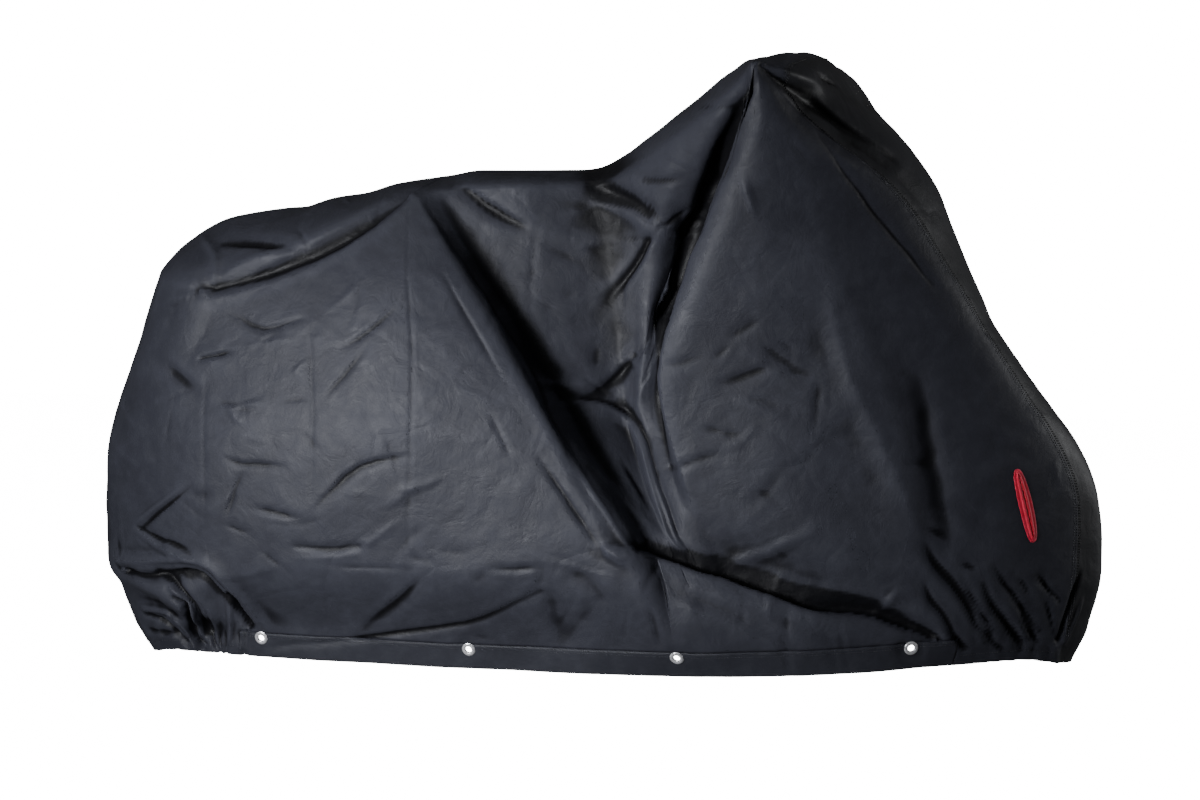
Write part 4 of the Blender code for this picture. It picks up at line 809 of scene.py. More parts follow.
def seatOnSlot(hand, side, folded, normals, points):
    # the cloth drawn onto a smooth patch round the lock slot, which the tape then follows
    middle = nodeMiddle(hand + "_lock_slot")
    nearest = np.unravel_index(np.argmin(np.linalg.norm(folded - middle, axis=-1)), folded.shape[:2])
    axes = slotAxes(normals[nearest], lockSlot["tilt"], side["sign"])
    fit = smoothPatch(points, middle, axes)
    side["slot"] = (middle, axes, fit)
    local = (points - middle) @ axes.T
    away = np.hypot(np.maximum(np.abs(local[..., 0]) - lockSlot["seatHalf"], 0.0), local[..., 1])
    seat = 1.0 - smoothStep((away - lockSlot["seatFrom"]) / lockSlot["seatOver"])
    seat *= np.abs(local[..., 2]) < lockSlot["seatDepth"]
    lift = patchHeight(fit, local[..., 0], local[..., 1]) - local[..., 2]
    return points + axes[2] * (lift * seat)[..., None]


def seatUnderEyelets(hand, points):
    # the cloth drawn flat into the middle plane of each eyelet
    for place, axis in anchors(hand).values():
        away = points - place
        level = away @ axis + eyelet["aboveCloth"]
        seat = 1.0 - smoothStep((np.linalg.norm(away, axis=-1) - eyelet["seatFrom"]) / eyelet["seatOver"])
        points = points - axis * (level * seat)[..., None]
    return points


def cavity(points, normals, ring, border, blurs, full):
    # how far a point lies under the mean of its ring of neighbours, as a share of the full depth
    mean = sum(np.roll(points, shift, (0, 1)) for shift in ring) / len(ring)
    depth = np.sum((mean - points) * normals, axis=-1)
    for axis in (0, 1) * blurs:
        depth = 0.5 * depth + 0.25 * (np.roll(depth, 1, axis) + np.roll(depth, -1, axis))
    depth[:border], depth[-border:], depth[:, :border], depth[:, -border:] = 0.0, 0.0, 0.0, 0.0
    return np.clip(depth / full, -1.0, 1.0)


def layCloth(hand, side):
    # folds, then creases along the folded cloth's normals, then the seats of the slot and the eyelets
    u, v, grid, folded = foldedGrid(side)
    normals = gridNormals(folded, side["sign"])
    along, up = runningLength(folded, 0), runningLength(folded, 1)
    creases = named(creaseColumns, side["creases"]) + scatteredCreases(side["patches"], side["seed"] + 2)
    detail = detailHeight(side, creases, grid, v, folded, normals, along, up)
    points = folded + normals * (detail * calmCloth(hand, folded))[..., None]
    points = seatOnSlot(hand, side, folded, normals, points)
    points = seatUnderEyelets(hand, points)
    middle = grain["middleRow"]
    around = np.repeat(along[:, middle:middle + 1], v.shape[1], axis=1)
    side["grid"] = {"u": u, "points": points, "normals": gridNormals(points, side["sign"]),
                    "cloth": np.stack([around, up], axis=-1)}
    # hollow and groove are depths under the neighbours, which the nylon's colour turns into painted shade in
    # the creases
    side["grid"].update({name: cavity(points, normals, **way) for name, way in cavities.items()})
    print(hand, "cloth laid:", points.shape[0], "by", points.shape[1], "points,", len(creases), "creases")


def gridFaces(rows, cols, keep, sign):
    # the kept cells as quads whose faces point outwards on either side of the bicycle
    index = np.arange(rows * cols).reshape(rows, cols)
    corners = (index[:-1, :-1], index[1:, :-1], index[1:, 1:], index[:-1, 1:])
    quads = np.stack(corners, axis=-1)[keep]
    return quads if sign < 0 else quads[:, ::-1]


def clothMesh(name, points, quads, layers):
    # one mesh from whole arrays, with the unused points dropped
    used = np.unique(quads)
    slots = np.zeros(len(points), np.int64)
    slots[used] = np.arange(len(used))
    quads = slots[quads]
    mesh = bpy.data.meshes.new(name)
    mesh.vertices.add(len(used))
    mesh.vertices.foreach_set("co", (points[used] - tableOrigin).astype(np.float32).ravel())
    mesh.loops.add(quads.size)
    mesh.loops.foreach_set("vertex_index", quads.ravel().astype(np.int32))
    mesh.polygons.add(len(quads))
    mesh.polygons.foreach_set("loop_start", np.arange(0, quads.size, quads.shape[1], dtype=np.int32))
    mesh.update(calc_edges=True)
    mesh.validate()
    mesh.shade_smooth()
    for label, values in layers.items():
        values = values[used]
        if values.ndim == 2:
            layer = mesh.uv_layers.new(name=label)
            layer.data.foreach_set("uv", values[quads.ravel()].astype(np.float32).ravel())
        else:
            layer = mesh.attributes.new(label, "FLOAT", "POINT")
            layer.data.foreach_set("value", values.astype(np.float32))
    return mesh


def closedQuads(rows, cols):
    # quads over a grid that closes on itself both ways, as a ring of sections does
    index = np.arange(rows * cols).reshape(rows, cols)
    ahead = np.roll(index, -1, axis=0)
    corners = (index, np.roll(index, -1, axis=1), np.roll(ahead, -1, axis=1), ahead)
    return np.stack(corners, axis=-1).reshape(-1, 4)


def faceOutwards(mesh):
    shaped = bmesh.new()
    shaped.from_mesh(mesh)
    bmesh.ops.recalc_face_normals(shaped, faces=shaped.faces)
    shaped.to_mesh(mesh)
    shaped.free()


def addPiece(name, mesh, finish, slot, *nodes):
    # a visible piece, which hides the solids that it stands for
    piece = bpy.data.objects.new(name, mesh)
    bpy.context.scene.collection.objects.link(piece)
    mesh.materials.clear()
    mesh.materials.append(finish)
    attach(piece, "root")
    if nodes:
        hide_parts(*nodes)
    return piece


def surfaceArea(mesh):
    return sum(face.area for face in mesh.polygons)


def addNode(tree, kind, inputs=None, **settings):
    # a shader node with its settings, and its inputs set or linked
    node = tree.nodes.new(kind)
    for name, value in settings.items():
        setattr(node, name, value)
    for name, value in (inputs or {}).items():
        if isinstance(value, bpy.types.NodeSocket):
            tree.links.new(value, node.inputs[name])
        else:
            node.inputs[name].default_value = value
    return node


def newFinish(name, roughness, metallic=0.0, specular=0.5):
    made = bpy.data.materials.new(name)
    made.use_nodes = True
    shader = made.node_tree.nodes["Principled BSDF"]
    shader.inputs["Roughness"].default_value = roughness
    shader.inputs["Metallic"].default_value = metallic
    shader.inputs["Specular IOR Level"].default_value = specular
    return made, made.node_tree, shader


def spread(tree, value, fromLow, fromHigh, toLow, toHigh):
    # the value stretched from one range to another, and held at its ends
    return addNode(tree, "ShaderNodeMapRange", {"Value": value, "From Min": fromLow, "From Max": fromHigh,
                                                "To Min": toLow, "To Max": toHigh}).outputs["Result"]


def mixed(tree, factor, first, second, blend="MIX"):
    node = addNode(tree, "ShaderNodeMix", data_type="RGBA", blend_type=blend)
    for socket, value in ((node.inputs[0], factor), (node.inputs[6], first), (node.inputs[7], second)):
        if isinstance(value, bpy.types.NodeSocket):
            tree.links.new(value, socket)
        else:
            socket.default_value = value
    return node.outputs[2]


def product(tree, first, second):
    return addNode(tree, "ShaderNodeMath", {0: first, 1: second}, operation="MULTIPLY").outputs["Value"]


def added(tree, first, second):
    return addNode(tree, "ShaderNodeMath", {0: first, 1: second}, operation="ADD").outputs["Value"]


def noise(tree, place, scale, detail, roughness=0.5, distortion=0.0):
    return addNode(tree, "ShaderNodeTexNoise", {"Vector": place, "Scale": scale, "Detail": detail,
                                                "Roughness": roughness, "Distortion": distortion}).outputs


def shifted(tree, first, second, way):
    return addNode(tree, "ShaderNodeVectorMath", {0: first, 1: second}, operation=way).outputs["Vector"]


def bumped(tree, height, strength, distance, under=None):
    inputs = {"Height": height, "Strength": strength, "Distance": distance}
    if under is not None:
        inputs["Normal"] = under
    return addNode(tree, "ShaderNodeBump", inputs).outputs["Normal"]


# shade is how dark the painted shade in the creases goes, and crinkle, crisp and weave are the strengths of
# the bumps
nylonLooks = {
    "side": {"color": (0.030, 0.031, 0.040), "wearAndShade": (0.046, 0.048, 0.061), "roughness": (0.42, 0.56),
             "crinkle": 0.24, "crisp": 0.26, "weave": 0.10, "shade": 0.75},
    # the front's colours are darker and less blue than the side's: painted shade on the same nylon, for the
    # nose panel that faces away from the lights
    "front": {"color": (0.020, 0.0205, 0.023), "wearAndShade": (0.030, 0.031, 0.036), "roughness": (0.44, 0.56),
              "crinkle": 0.18, "crisp": 0.20, "weave": 0.10, "shade": 0.70},
    "hem": {"color": (0.028, 0.029, 0.037), "wearAndShade": (0.043, 0.045, 0.056), "roughness": (0.44, 0.58),
            "crinkle": 0.20, "crisp": 0.10, "weave": 0.12, "shade": 0.70},
}
# pattern scales per metre, the heights of the bumps, and the painted shade: its colour at the bottom of a
# crease
nylonPattern = {
    "cloud": 5.0, "rub": 34.0, "bend": 7.0, "bendBy": 0.035, "crinkle": 24.0, "web": 10.0, "weave": 420.0,
    "crinkleHeight": 0.0080, "crispHeight": 0.0022, "weaveHeight": 0.0003,
    "creaseShadeColor": (0.004, 0.004, 0.005, 1.0), "shade": 0.90,
}


def nylonFinish(name, look):
    # coated nylon: dark cloth, paler where it is rubbed, with painted shade that turns it near black in its
    # creases, crinkled, with short crisp creases and a fine weave
    made, tree, shader = newFinish(name, 0.45, specular=0.2)
    pattern = nylonPattern
    place = addNode(tree, "ShaderNodeTexCoord").outputs["Object"]
    cloud = noise(tree, place, pattern["cloud"], 5.0, 0.6)["Fac"]
    rub = noise(tree, place, pattern["rub"], 6.0, 0.65)["Fac"]
    hollow, groove = (addNode(tree, "ShaderNodeAttribute", attribute_name=layer).outputs["Fac"]
                      for layer in ("hollow", "groove"))
    wearAndShade = added(tree, spread(tree, cloud, 0.35, 0.70, 0.0, 0.7), spread(tree, rub, 0.45, 0.75, 0.0, 0.5))
    # painted shade: the hollow depth holds back the paler rubbed colour in the creases
    wearAndShade = added(tree, wearAndShade, product(tree, hollow, -0.6))
    base = mixed(tree, spread(tree, wearAndShade, 0.0, 1.0, 0.0, 1.0), (*look["color"], 1.0), (*look["wearAndShade"], 1.0))
    # painted shade: near black at the bottom of narrow grooves and across wider hollows
    base = mixed(tree, spread(tree, groove, 0.16, 1.0, 0.0, look["shade"]), base, pattern["creaseShadeColor"])
    base = mixed(tree, spread(tree, hollow, 0.30, 0.95, 0.0, pattern["shade"]), base, pattern["creaseShadeColor"])
    tree.links.new(base, shader.inputs["Base Color"])
    tree.links.new(spread(tree, rub, 0.3, 0.7, *look["roughness"]), shader.inputs["Roughness"])

    bend = shifted(tree, noise(tree, place, pattern["bend"], 3.0, 0.6)["Color"], (0.5, 0.5, 0.5), "SUBTRACT")
    bend = addNode(tree, "ShaderNodeVectorMath", {0: bend, "Scale": pattern["bendBy"]}, operation="SCALE")
    bentPlace = shifted(tree, place, bend.outputs["Vector"], "ADD")
    crinkle = noise(tree, bentPlace, pattern["crinkle"], 7.0, 0.58, 0.7)["Fac"]
    web = addNode(tree, "ShaderNodeTexVoronoi", {"Vector": bentPlace, "Scale": pattern["web"]},
                  feature="DISTANCE_TO_EDGE").outputs["Distance"]
    crisp = product(tree, spread(tree, web, 0.0, 0.09, 0.0, 1.0), spread(tree, cloud, 0.46, 0.60, 0.0, 1.0))
    thread = addNode(tree, "ShaderNodeUVMap", uv_map="cloth").outputs["UV"]
    weave = product(tree, *(addNode(tree, "ShaderNodeTexWave", {"Vector": thread, "Scale": pattern["weave"]},
                                    wave_type="BANDS", bands_direction=way).outputs["Fac"] for way in "XY"))
    bump = bumped(tree, weave, look["weave"], pattern["weaveHeight"])
    bump = bumped(tree, crisp, look["crisp"], pattern["crispHeight"], bump)
    bump = bumped(tree, crinkle, look["crinkle"], pattern["crinkleHeight"], bump)
    tree.links.new(bump, shader.inputs["Normal"])
    return made


plateLook = {"bright": (0.86, 0.86, 0.88, 1.0), "stained": (0.66, 0.65, 0.64, 1.0), "stain": 260.0,
             "roughness": (0.26, 0.42)}


def metalFinish():
    # nickel plate with faint tarnish, whose noise also varies its roughness and bumps it finely
    made, tree, shader = newFinish("plated_nickel", 0.34, metallic=0.55)
    place = addNode(tree, "ShaderNodeTexCoord").outputs["Object"]
    stain = noise(tree, place, plateLook["stain"], 5.0, 0.6)["Fac"]
    base = mixed(tree, spread(tree, stain, 0.4, 0.7, 0.0, 1.0), plateLook["bright"], plateLook["stained"])
    tree.links.new(base, shader.inputs["Base Color"])
    tree.links.new(spread(tree, stain, 0.3, 0.7, *plateLook["roughness"]), shader.inputs["Roughness"])
    tree.links.new(bumped(tree, stain, 0.12, 0.0002), shader.inputs["Normal"])
    return made


# the darkest red is painted shade inside the slit
tapeLook = {"red": (0.90, 0.012, 0.050, 1.0), "faded": (0.95, 0.040, 0.100, 1.0),
            "slitShade": (0.62, 0.006, 0.024, 1.0), "patch": 90.0, "rib": 260.0, "sheen": 0.1}


def bindingFinish():
    # red woven tape, darkened by painted shade towards the slit, with ribs across it
    made, tree, shader = newFinish("red_tape", 0.5, specular=0.4)
    shader.inputs["Sheen Weight"].default_value = tapeLook["sheen"]
    thread = addNode(tree, "ShaderNodeUVMap", uv_map="cloth").outputs["UV"]
    lip = addNode(tree, "ShaderNodeAttribute", attribute_name="lip").outputs["Fac"]
    patchy = noise(tree, thread, tapeLook["patch"], 4.0)["Fac"]
    tape = mixed(tree, spread(tree, patchy, 0.3, 0.7, 0.0, 1.0), tapeLook["red"], tapeLook["faded"])
    # painted shade: the tape turns a darker red towards the slit
    base = mixed(tree, spread(tree, lip, 0.2, 1.0, 0.0, 0.85), tape, tapeLook["slitShade"])
    tree.links.new(base, shader.inputs["Base Color"])
    rib = addNode(tree, "ShaderNodeTexWave", {"Vector": thread, "Scale": tapeLook["rib"]}, wave_type="BANDS",
                  bands_direction="X").outputs["Fac"]
    tree.links.new(bumped(tree, rib, 0.35, 0.0005), shader.inputs["Normal"])
    return made


threadLook = {"dark": (0.020, 0.021, 0.025, 1.0), "light": (0.060, 0.062, 0.070, 1.0), "twist": 500.0}


def threadFinish():
    # waxed polyester sewing thread
    made, tree, shader = newFinish("black_thread", 0.42, specular=0.5)
    place = addNode(tree, "ShaderNodeTexCoord").outputs["Object"]
    twist = noise(tree, place, threadLook["twist"], 3.0)["Fac"]
    tree.links.new(mixed(tree, twist, threadLook["dark"], threadLook["light"]), shader.inputs["Base Color"])
    return made


finishes = {
    "nylon": nylonFinish("coated_nylon", nylonLooks["side"]),
    "front": nylonFinish("coated_nylon_front_shaded", nylonLooks["front"]),
    "hem": nylonFinish("doubled_nylon_hem", nylonLooks["hem"]),
    "metal": metalFinish(),
    "binding": bindingFinish(),
    "thread": threadFinish(),
}
print("finishes made")


hem = {
    "roll": 0.0011, "turnedRows": 4,          # the ends of the hem are turned in round this radius
    "tuck": 0.0026,                           # the panel runs on this far inside the band
    "bandProud": 0.0002, "bandInside": 0.0014,
    "bandGap": 0.0001, "bandSink": 0.0007,    # the band's top edge stands off the cloth and sinks into it
    "bandHole": 0.0082,                       # cut under each eyelet's flange
}


def turnedHem(points, normals):
    # rows of a rolled edge: in round a half circle, then back up inside the cloth
    down = unit(points[:, 0] - points[:, 1])
    inside = [points[:, k] - 2.0 * hem["roll"] * normals[:, k] for k in range(hem["turnedRows"], 0, -1)]
    turns = np.radians(np.linspace(180.0, 0.0, 7)[:-1])
    rolled = [points[:, 0] + hem["roll"] * (math.sin(turn) * down - (1.0 - math.cos(turn)) * normals[:, 0])
              for turn in turns]
    return np.stack(inside + rolled, axis=1)


def stripColumns(side):
    # the first and the last column of the grid that the hem band covers
    u = side["grid"]["u"]
    start, end = side["names"].index(drape["bandFrom"]), side["names"].index(drape["bandTo"])
    return int(np.argmin(np.abs(u - start))), int(np.argmin(np.abs(u - end)))


def withHemRows(grid, columns):
    # the columns' points with the turned hem in front, and their layers carried along
    points, normals = grid["points"][columns], grid["normals"][columns]
    turned = turnedHem(points, normals)
    extra = turned.shape[1]
    layers = {name: grid[name][columns] for name in ("cloth", "hollow", "groove")}
    layers = {name: np.concatenate([np.repeat(values[:, :1], extra, axis=1), values], axis=1)
              for name, values in layers.items()}
    return np.concatenate([turned, points], axis=1), layers, extra


def addCloth(name, points, layers, keep, sign, *look):
    # a grid of cloth as a mesh and a piece
    quads = gridFaces(*points.shape[:2], keep, sign)
    flat = {layer: values.reshape(-1, *values.shape[2:]) for layer, values in layers.items()}
    return addPiece(name, clothMesh(name, points.reshape(-1, 3), quads, flat), *look)


def reportCloth(panel):
    print(panel.name, "area", round(surfaceArea(panel.data), 3), "m2,", len(panel.data.polygons), "faces")


def slotCells(side, points):
    # the cells under the lock slot's tape
    middle, axes, _ = side["slot"]
    centres = 0.25 * (points[:-1, :-1] + points[1:, :-1] + points[:-1, 1:] + points[1:, 1:])
    local = (centres - middle) @ axes.T
    within = slotDistance(local[..., 0], local[..., 1]) < lockSlot["clothEdge"]
    return within & (np.abs(local[..., 2]) < lockSlot["clothDepth"])


def sidePanel(hand, side):
    # the grid from the rear edge to the nose seam, open under the lock slot and along the band,
    # where its edge turns in behind the band
    grid = side["grid"]
    columns = slice(0, grain["columns"] + 1)
    points, layers, extra = withHemRows(grid, columns)
    first, last = stripColumns(side)
    top = extra + grain["bandRows"]
    inner = slice(first + 2, last - 1)
    normals = grid["normals"][columns]
    inwards = hem["tuck"] * normals[inner, grain["bandRows"]]
    below = points[inner, top - 1].copy()
    points[inner, top - 1] = points[inner, top] - inwards
    points[inner, top - 2] = below - inwards
    for column in (first + 1, last - 1):
        level = np.clip(np.arange(top) - extra, 0, None)
        points[column, :top] -= hem["tuck"] * normals[column, level]
    keep = np.ones((points.shape[0] - 1, points.shape[1] - 1), bool)
    keep[first + 1:last - 1, :top - 2] = False
    keep &= ~slotCells(side, points)
    panel = addCloth(hand + "_side_cloth", points, layers, keep, side["sign"], finishes["nylon"], "nylon",
                     hand + "_side_panel")
    reportCloth(panel)


def nosePanel():
    # both sides' grids past the nose seam, joined along the front edge
    right, left = (withHemRows(side["grid"], slice(grain["columns"], None)) for side in sides.values())
    points = np.concatenate([right[0], left[0][::-1][1:]], axis=0)
    layers = {name: np.concatenate([right[1][name], left[1][name][::-1][1:]], axis=0) for name in right[1]}
    around = layers["cloth"][..., 0]
    front = grain["noseColumns"]
    around[front + 1:] = 2.0 * around[front] - around[front + 1:]
    keep = np.ones((points.shape[0] - 1, points.shape[1] - 1), bool)
    panel = addCloth("nose_cloth", points, layers, keep, -1.0, finishes["front"], "nylon", "nose_panel")
    reportCloth(panel)


def bandEnds(index):
    # quads that close the two ends of the band's loop of rows
    quads = []
    for ring in (index[0, :-1], index[-1, :-1][::-1]):
        count = len(ring)
        quads += [(ring[k], ring[k + 1], ring[count - 2 - k], ring[count - 1 - k])
                  for k in range(count // 2 - 1)]
    return np.array(quads)


def hemBand(hand, side):
    # a closed loop of rows carried along the hem: down the outside, round the edge, up the inside
    grid = side["grid"]
    first, last = stripColumns(side)
    columns = slice(first, last + 1)
    top = grain["bandRows"]
    points, normals = grid["points"][columns, :top + 1].copy(), grid["normals"][columns, :top + 1]
    uv = grid["cloth"][columns, :top + 1]
    down = unit(points[:, 0] - points[:, 1])
    points[:, top] += hem["bandGap"] * unit(points[:, top - 1] - points[:, top])
    for end, step in ((0, 1), (-1, -2)):
        points[end] += hem["bandGap"] * unit(points[step] - points[end])
    outer = points + hem["bandProud"] * normals
    outer[:, top] -= hem["bandSink"] * normals[:, top]
    inner = points - hem["bandInside"] * normals
    turns = np.radians(np.linspace(0.0, 180.0, 6)[1:-1])
    middle = 0.5 * (hem["bandProud"] - hem["bandInside"])
    half = 0.5 * (hem["bandProud"] + hem["bandInside"])
    edge = [points[:, 0] + normals[:, 0] * (middle + half * math.cos(turn)) + down * half * math.sin(turn)
            for turn in turns]
    downwards, upwards = range(top, -1, -1), range(0, top + 1)
    loop = [outer[:, k] for k in downwards] + edge + [inner[:, k] for k in upwards]
    marks = [uv[:, k] for k in downwards] + [uv[:, 0]] * len(edge) + [uv[:, k] for k in upwards]
    rows = np.stack(loop + [loop[0]], axis=1)
    marks = np.stack(marks + [marks[0]], axis=1)
    long, around = rows.shape[:2]
    index = np.arange(long * around).reshape(long, around)
    index[:, -1] = index[:, 0]
    quads = np.stack((index[:-1, :-1], index[:-1, 1:], index[1:, 1:], index[1:, :-1]), axis=-1).reshape(-1, 4)
    quads = np.concatenate([quads, bandEnds(index)])
    if side["sign"] > 0:
        quads = quads[:, ::-1]
    layers = {"cloth": marks.reshape(-1, 2), "hollow": np.zeros(long * around)}
    mesh = clothMesh(hand + "_hem_cloth", rows.reshape(-1, 3), quads, layers)
    faceOutwards(mesh)
    band = addPiece(hand + "_hem_cloth", mesh, finishes["hem"], "hem", hand + "_hem_band")
    for label, (place, axis) in anchors(hand).items():
        cutRound(band, label, place, axis)
    reportCloth(band)


def axisMatrix(place, axis):
    # turns Z onto the axis and moves to the place
    turn = Vector(axis).to_track_quat("Z", "Y").to_matrix().to_4x4()
    turn.translation = Vector(place - tableOrigin)
    return turn


def cutRound(band, label, place, axis):
    # a clean hole under an eyelet
    shaped = bmesh.new()
    radius = hem["bandHole"]
    bmesh.ops.create_cone(shaped, cap_ends=True, segments=40, radius1=radius, radius2=radius, depth=0.02,
                          matrix=axisMatrix(place, axis))
    mesh = bpy.data.meshes.new(label + "_cutter")
    shaped.to_mesh(mesh)
    shaped.free()
    cutter = bpy.data.objects.new(label + "_cutter", mesh)
    bpy.context.scene.collection.objects.link(cutter)
    cut = band.modifiers.new("hole", "BOOLEAN")
    cut.operation, cut.solver, cut.object = "DIFFERENCE", "EXACT", cutter
    graph = bpy.context.evaluated_depsgraph_get()
    result = bpy.data.meshes.new_from_object(band.evaluated_get(graph))
    band.modifiers.clear()
    band.data = result
    bpy.data.objects.remove(cutter, do_unlink=True)


eyelet = {
    "hole": 0.0056, "rim": 0.0118, "sides": 56,
    "aboveCloth": 0.0019,                     # from the flange's face down to the band's middle plane
    "depth": 0.0046,                          # from the outer face to the inner one
    "calmFrom": 0.014, "calmOver": 0.022,     # creases start this far from its middle, over this distance
    "seatFrom": 0.015, "seatOver": 0.014,     # the cloth is flat up to here and free beyond
}


def eyeletRing(label, place, axis):
    # a rolled flange outside, a barrel through the band and a flatter washer inside, turned about the axis
    hole, rim, depth = eyelet["hole"], eyelet["rim"], eyelet["depth"]
    arc = np.radians(np.linspace(180.0, 0.0, 11))
    middle, half = 0.5 * (hole + rim - 0.0006), 0.5 * (rim - hole - 0.0006)
    crown = [(middle + half * math.cos(t), -0.0011 + 0.0011 * math.sin(t) ** 0.8) for t in arc]
    lip = [(rim - 0.0004, -0.0012), (rim, -0.0014), (rim - 0.0001, -0.0018), (rim - 0.0006, -0.0019)]
    barrel = [(0.0074, -0.0019), (0.0074, -depth + 0.0012)]
    washer = [(rim - 0.0005, -depth + 0.0012), (rim, -depth + 0.0008), (rim - 0.0005, -depth + 0.0003),
              (hole + 0.0008, -depth), (hole + 0.0001, -depth + 0.0005)]
    profile = np.array(crown + lip + barrel + washer)
    turns = np.linspace(0.0, 2.0 * math.pi, eyelet["sides"], endpoint=False)
    ring = np.stack([np.outer(np.cos(turns), profile[:, 0]), np.outer(np.sin(turns), profile[:, 0]),
                     np.repeat(profile[None, :, 1], len(turns), axis=0)], axis=-1)
    turn = np.array(axisMatrix(place, axis).to_3x3())
    points = ring @ turn.T + place
    mesh = clothMesh(label + "_ring", points.reshape(-1, 3), closedQuads(*points.shape[:2]), {})
    faceOutwards(mesh)
    mesh.set_sharp_from_angle(angle=math.radians(42.0))
    return addPiece(label + "_ring", mesh, finishes["metal"], "eyelet", label)


lockSlot = {
    "tilt": 16.0, "length": 0.118, "width": 0.0180, "tape": 0.0070,
    "lips": 0.0007,                           # half the slit that the two lips leave
    "clothEdge": 0.0075, "clothDepth": 0.030,    # the cloth stops this far from the slot's centre line
    "calmShape": (1.0, 0.5, 0.62), "calmFrom": 0.035, "calmOver": 0.030,
    "fitReach": 0.075, "fitDepth": 0.030,     # the smooth patch is fitted to the cloth within this box
    "seatHalf": 0.045, "seatFrom": 0.017, "seatOver": 0.022, "seatDepth": 0.040,
    "sides": 120,
}


def slotDistance(a, b):
    # distance from the slot's centre line, which is a straight stretch
    reach = lockSlot["length"] / 2.0 - lockSlot["width"] / 2.0
    return np.hypot(np.maximum(np.abs(a) - reach, 0.0), b)


def lensOutline(turns, halfLength, halfWidth, power):
    # a long lens: x = L cos t, y = W |sin t|^power
    across = np.sign(np.sin(turns)) * np.abs(np.sin(turns)) ** power
    return np.stack([halfLength * np.cos(turns), halfWidth * across], axis=-1)


def lockSlotTape(hand, side):
    # a tape folded over the edge all round the slot: each turn of the outline carries the section
    # from the slit, over the rolled lip and across the flat tape, to its edge and back underneath
    middle, axes, fit = side["slot"]
    half = lockSlot["width"] / 2.0 + lockSlot["tape"] / 2.0
    turns = np.linspace(0.0, 2.0 * math.pi, lockSlot["sides"], endpoint=False)
    outer = lensOutline(turns, lockSlot["length"] / 2.0 + lockSlot["tape"] / 2.0, half, 0.62)
    inner = lensOutline(turns, lockSlot["length"] / 2.0 - 0.006, lockSlot["lips"], 1.0)
    section = np.array([(0.06, -0.0028), (0.02, -0.0012), (0.0, 0.0004), (0.03, 0.0017), (0.12, 0.0026),
                        (0.24, 0.0029), (0.36, 0.0026), (0.44, 0.0017), (0.50, 0.0010), (0.58, 0.0009),
                        (0.72, 0.0011), (0.86, 0.0011), (0.96, 0.0009), (1.0, 0.0004), (0.98, 0.0),
                        (0.80, -0.0003), (0.55, -0.0005), (0.42, -0.0020)])
    share, lift = section[:, 0], section[:, 1]
    flat = inner[:, None] + (outer - inner)[:, None] * share[None, :, None]
    pucker = 1.0 + 0.10 * np.sin(23.0 * turns) + 0.07 * np.sin(41.0 * turns + 1.0)
    height = patchHeight(fit, flat[..., 0], flat[..., 1]) + lift[None, :] * pucker[:, None] + 0.0002
    local = np.concatenate([flat, height[..., None]], axis=-1)
    points = local @ axes + middle
    length = np.cumsum(np.linalg.norm(np.diff(outer, axis=0, append=outer[:1]), axis=1))
    across = np.cumsum(np.r_[0.0, np.linalg.norm(np.diff(section * (half, 1.0), axis=0), axis=1)])
    marks = np.stack(np.meshgrid(length, across, indexing="ij"), axis=-1)
    # lip marks the tape near the slit, where its colour is darkened as painted shade
    lip = np.repeat(smoothStep(1.0 - share[None, :] / 0.45), len(turns), axis=0)
    mesh = clothMesh(hand + "_slot_tape", points.reshape(-1, 3), closedQuads(*points.shape[:2]),
                     {"cloth": marks.reshape(-1, 2), "lip": lip.ravel()})
    faceOutwards(mesh)
    return addPiece(hand + "_slot_tape", mesh, finishes["binding"], "binding", hand + "_lock_slot")


# the rows of stitches are counted in cells: down from the band's top, up from its foot, up from the
# turned hem, away from the nose seam and down from the ridge
sewing = {
    "pitch": 0.0046, "stitch": 0.0032, "thick": 0.00045, "lift": 0.0003,
    "bandTop": (0.7, 1.6), "bandFoot": 0.6, "hem": 3.4, "noseSeam": (0.8, 1.9), "ridge": (1, 2),
}


def alongLine(run, table, at):
    return np.stack([np.interp(at, run, table[:, axis]) for axis in range(3)], axis=-1)


def stitchRow(line, normals):
    # one spindle for each stitch along a line: two ends and two rings of four points
    run = runningLength(line, 0)
    marks = np.arange(sewing["pitch"], run[-1] - sewing["pitch"], sewing["pitch"])
    if len(marks) < 2:
        return np.zeros((0, 3)), np.zeros((0, 3), int)
    middle, out = alongLine(run, line, marks), unit(alongLine(run, normals, marks))
    along = unit(alongLine(run, line, marks + 0.001) - alongLine(run, line, marks - 0.001))
    across = np.cross(out, along)
    half, r = sewing["stitch"] / 2.0, sewing["thick"]
    shape = [(-half, 0.0, -0.6 * r), (-0.6 * half, r, 0.0), (-0.6 * half, 0.0, r), (-0.6 * half, -r, 0.0),
             (-0.6 * half, 0.0, -r), (0.6 * half, r, 0.0), (0.6 * half, 0.0, r), (0.6 * half, -r, 0.0),
             (0.6 * half, 0.0, -r), (half, 0.0, -0.6 * r)]
    points = sum(np.array(shape)[None, :, k, None] * axis[:, None]
                 for k, axis in enumerate((along, across, out)))
    points = points + (middle + sewing["lift"] * out)[:, None]
    faces = [(0, 2, 1), (0, 3, 2), (0, 4, 3), (0, 1, 4), (9, 5, 6), (9, 6, 7), (9, 7, 8), (9, 8, 5)]
    for k in range(4):
        a, b = 1 + k, 1 + (k + 1) % 4
        faces += [(a, b, b + 4), (a, b + 4, a + 4)]
    faces = np.array(faces)[None] + 10 * np.arange(len(marks))[:, None, None]
    return points.reshape(-1, 3), faces.reshape(-1, 3)


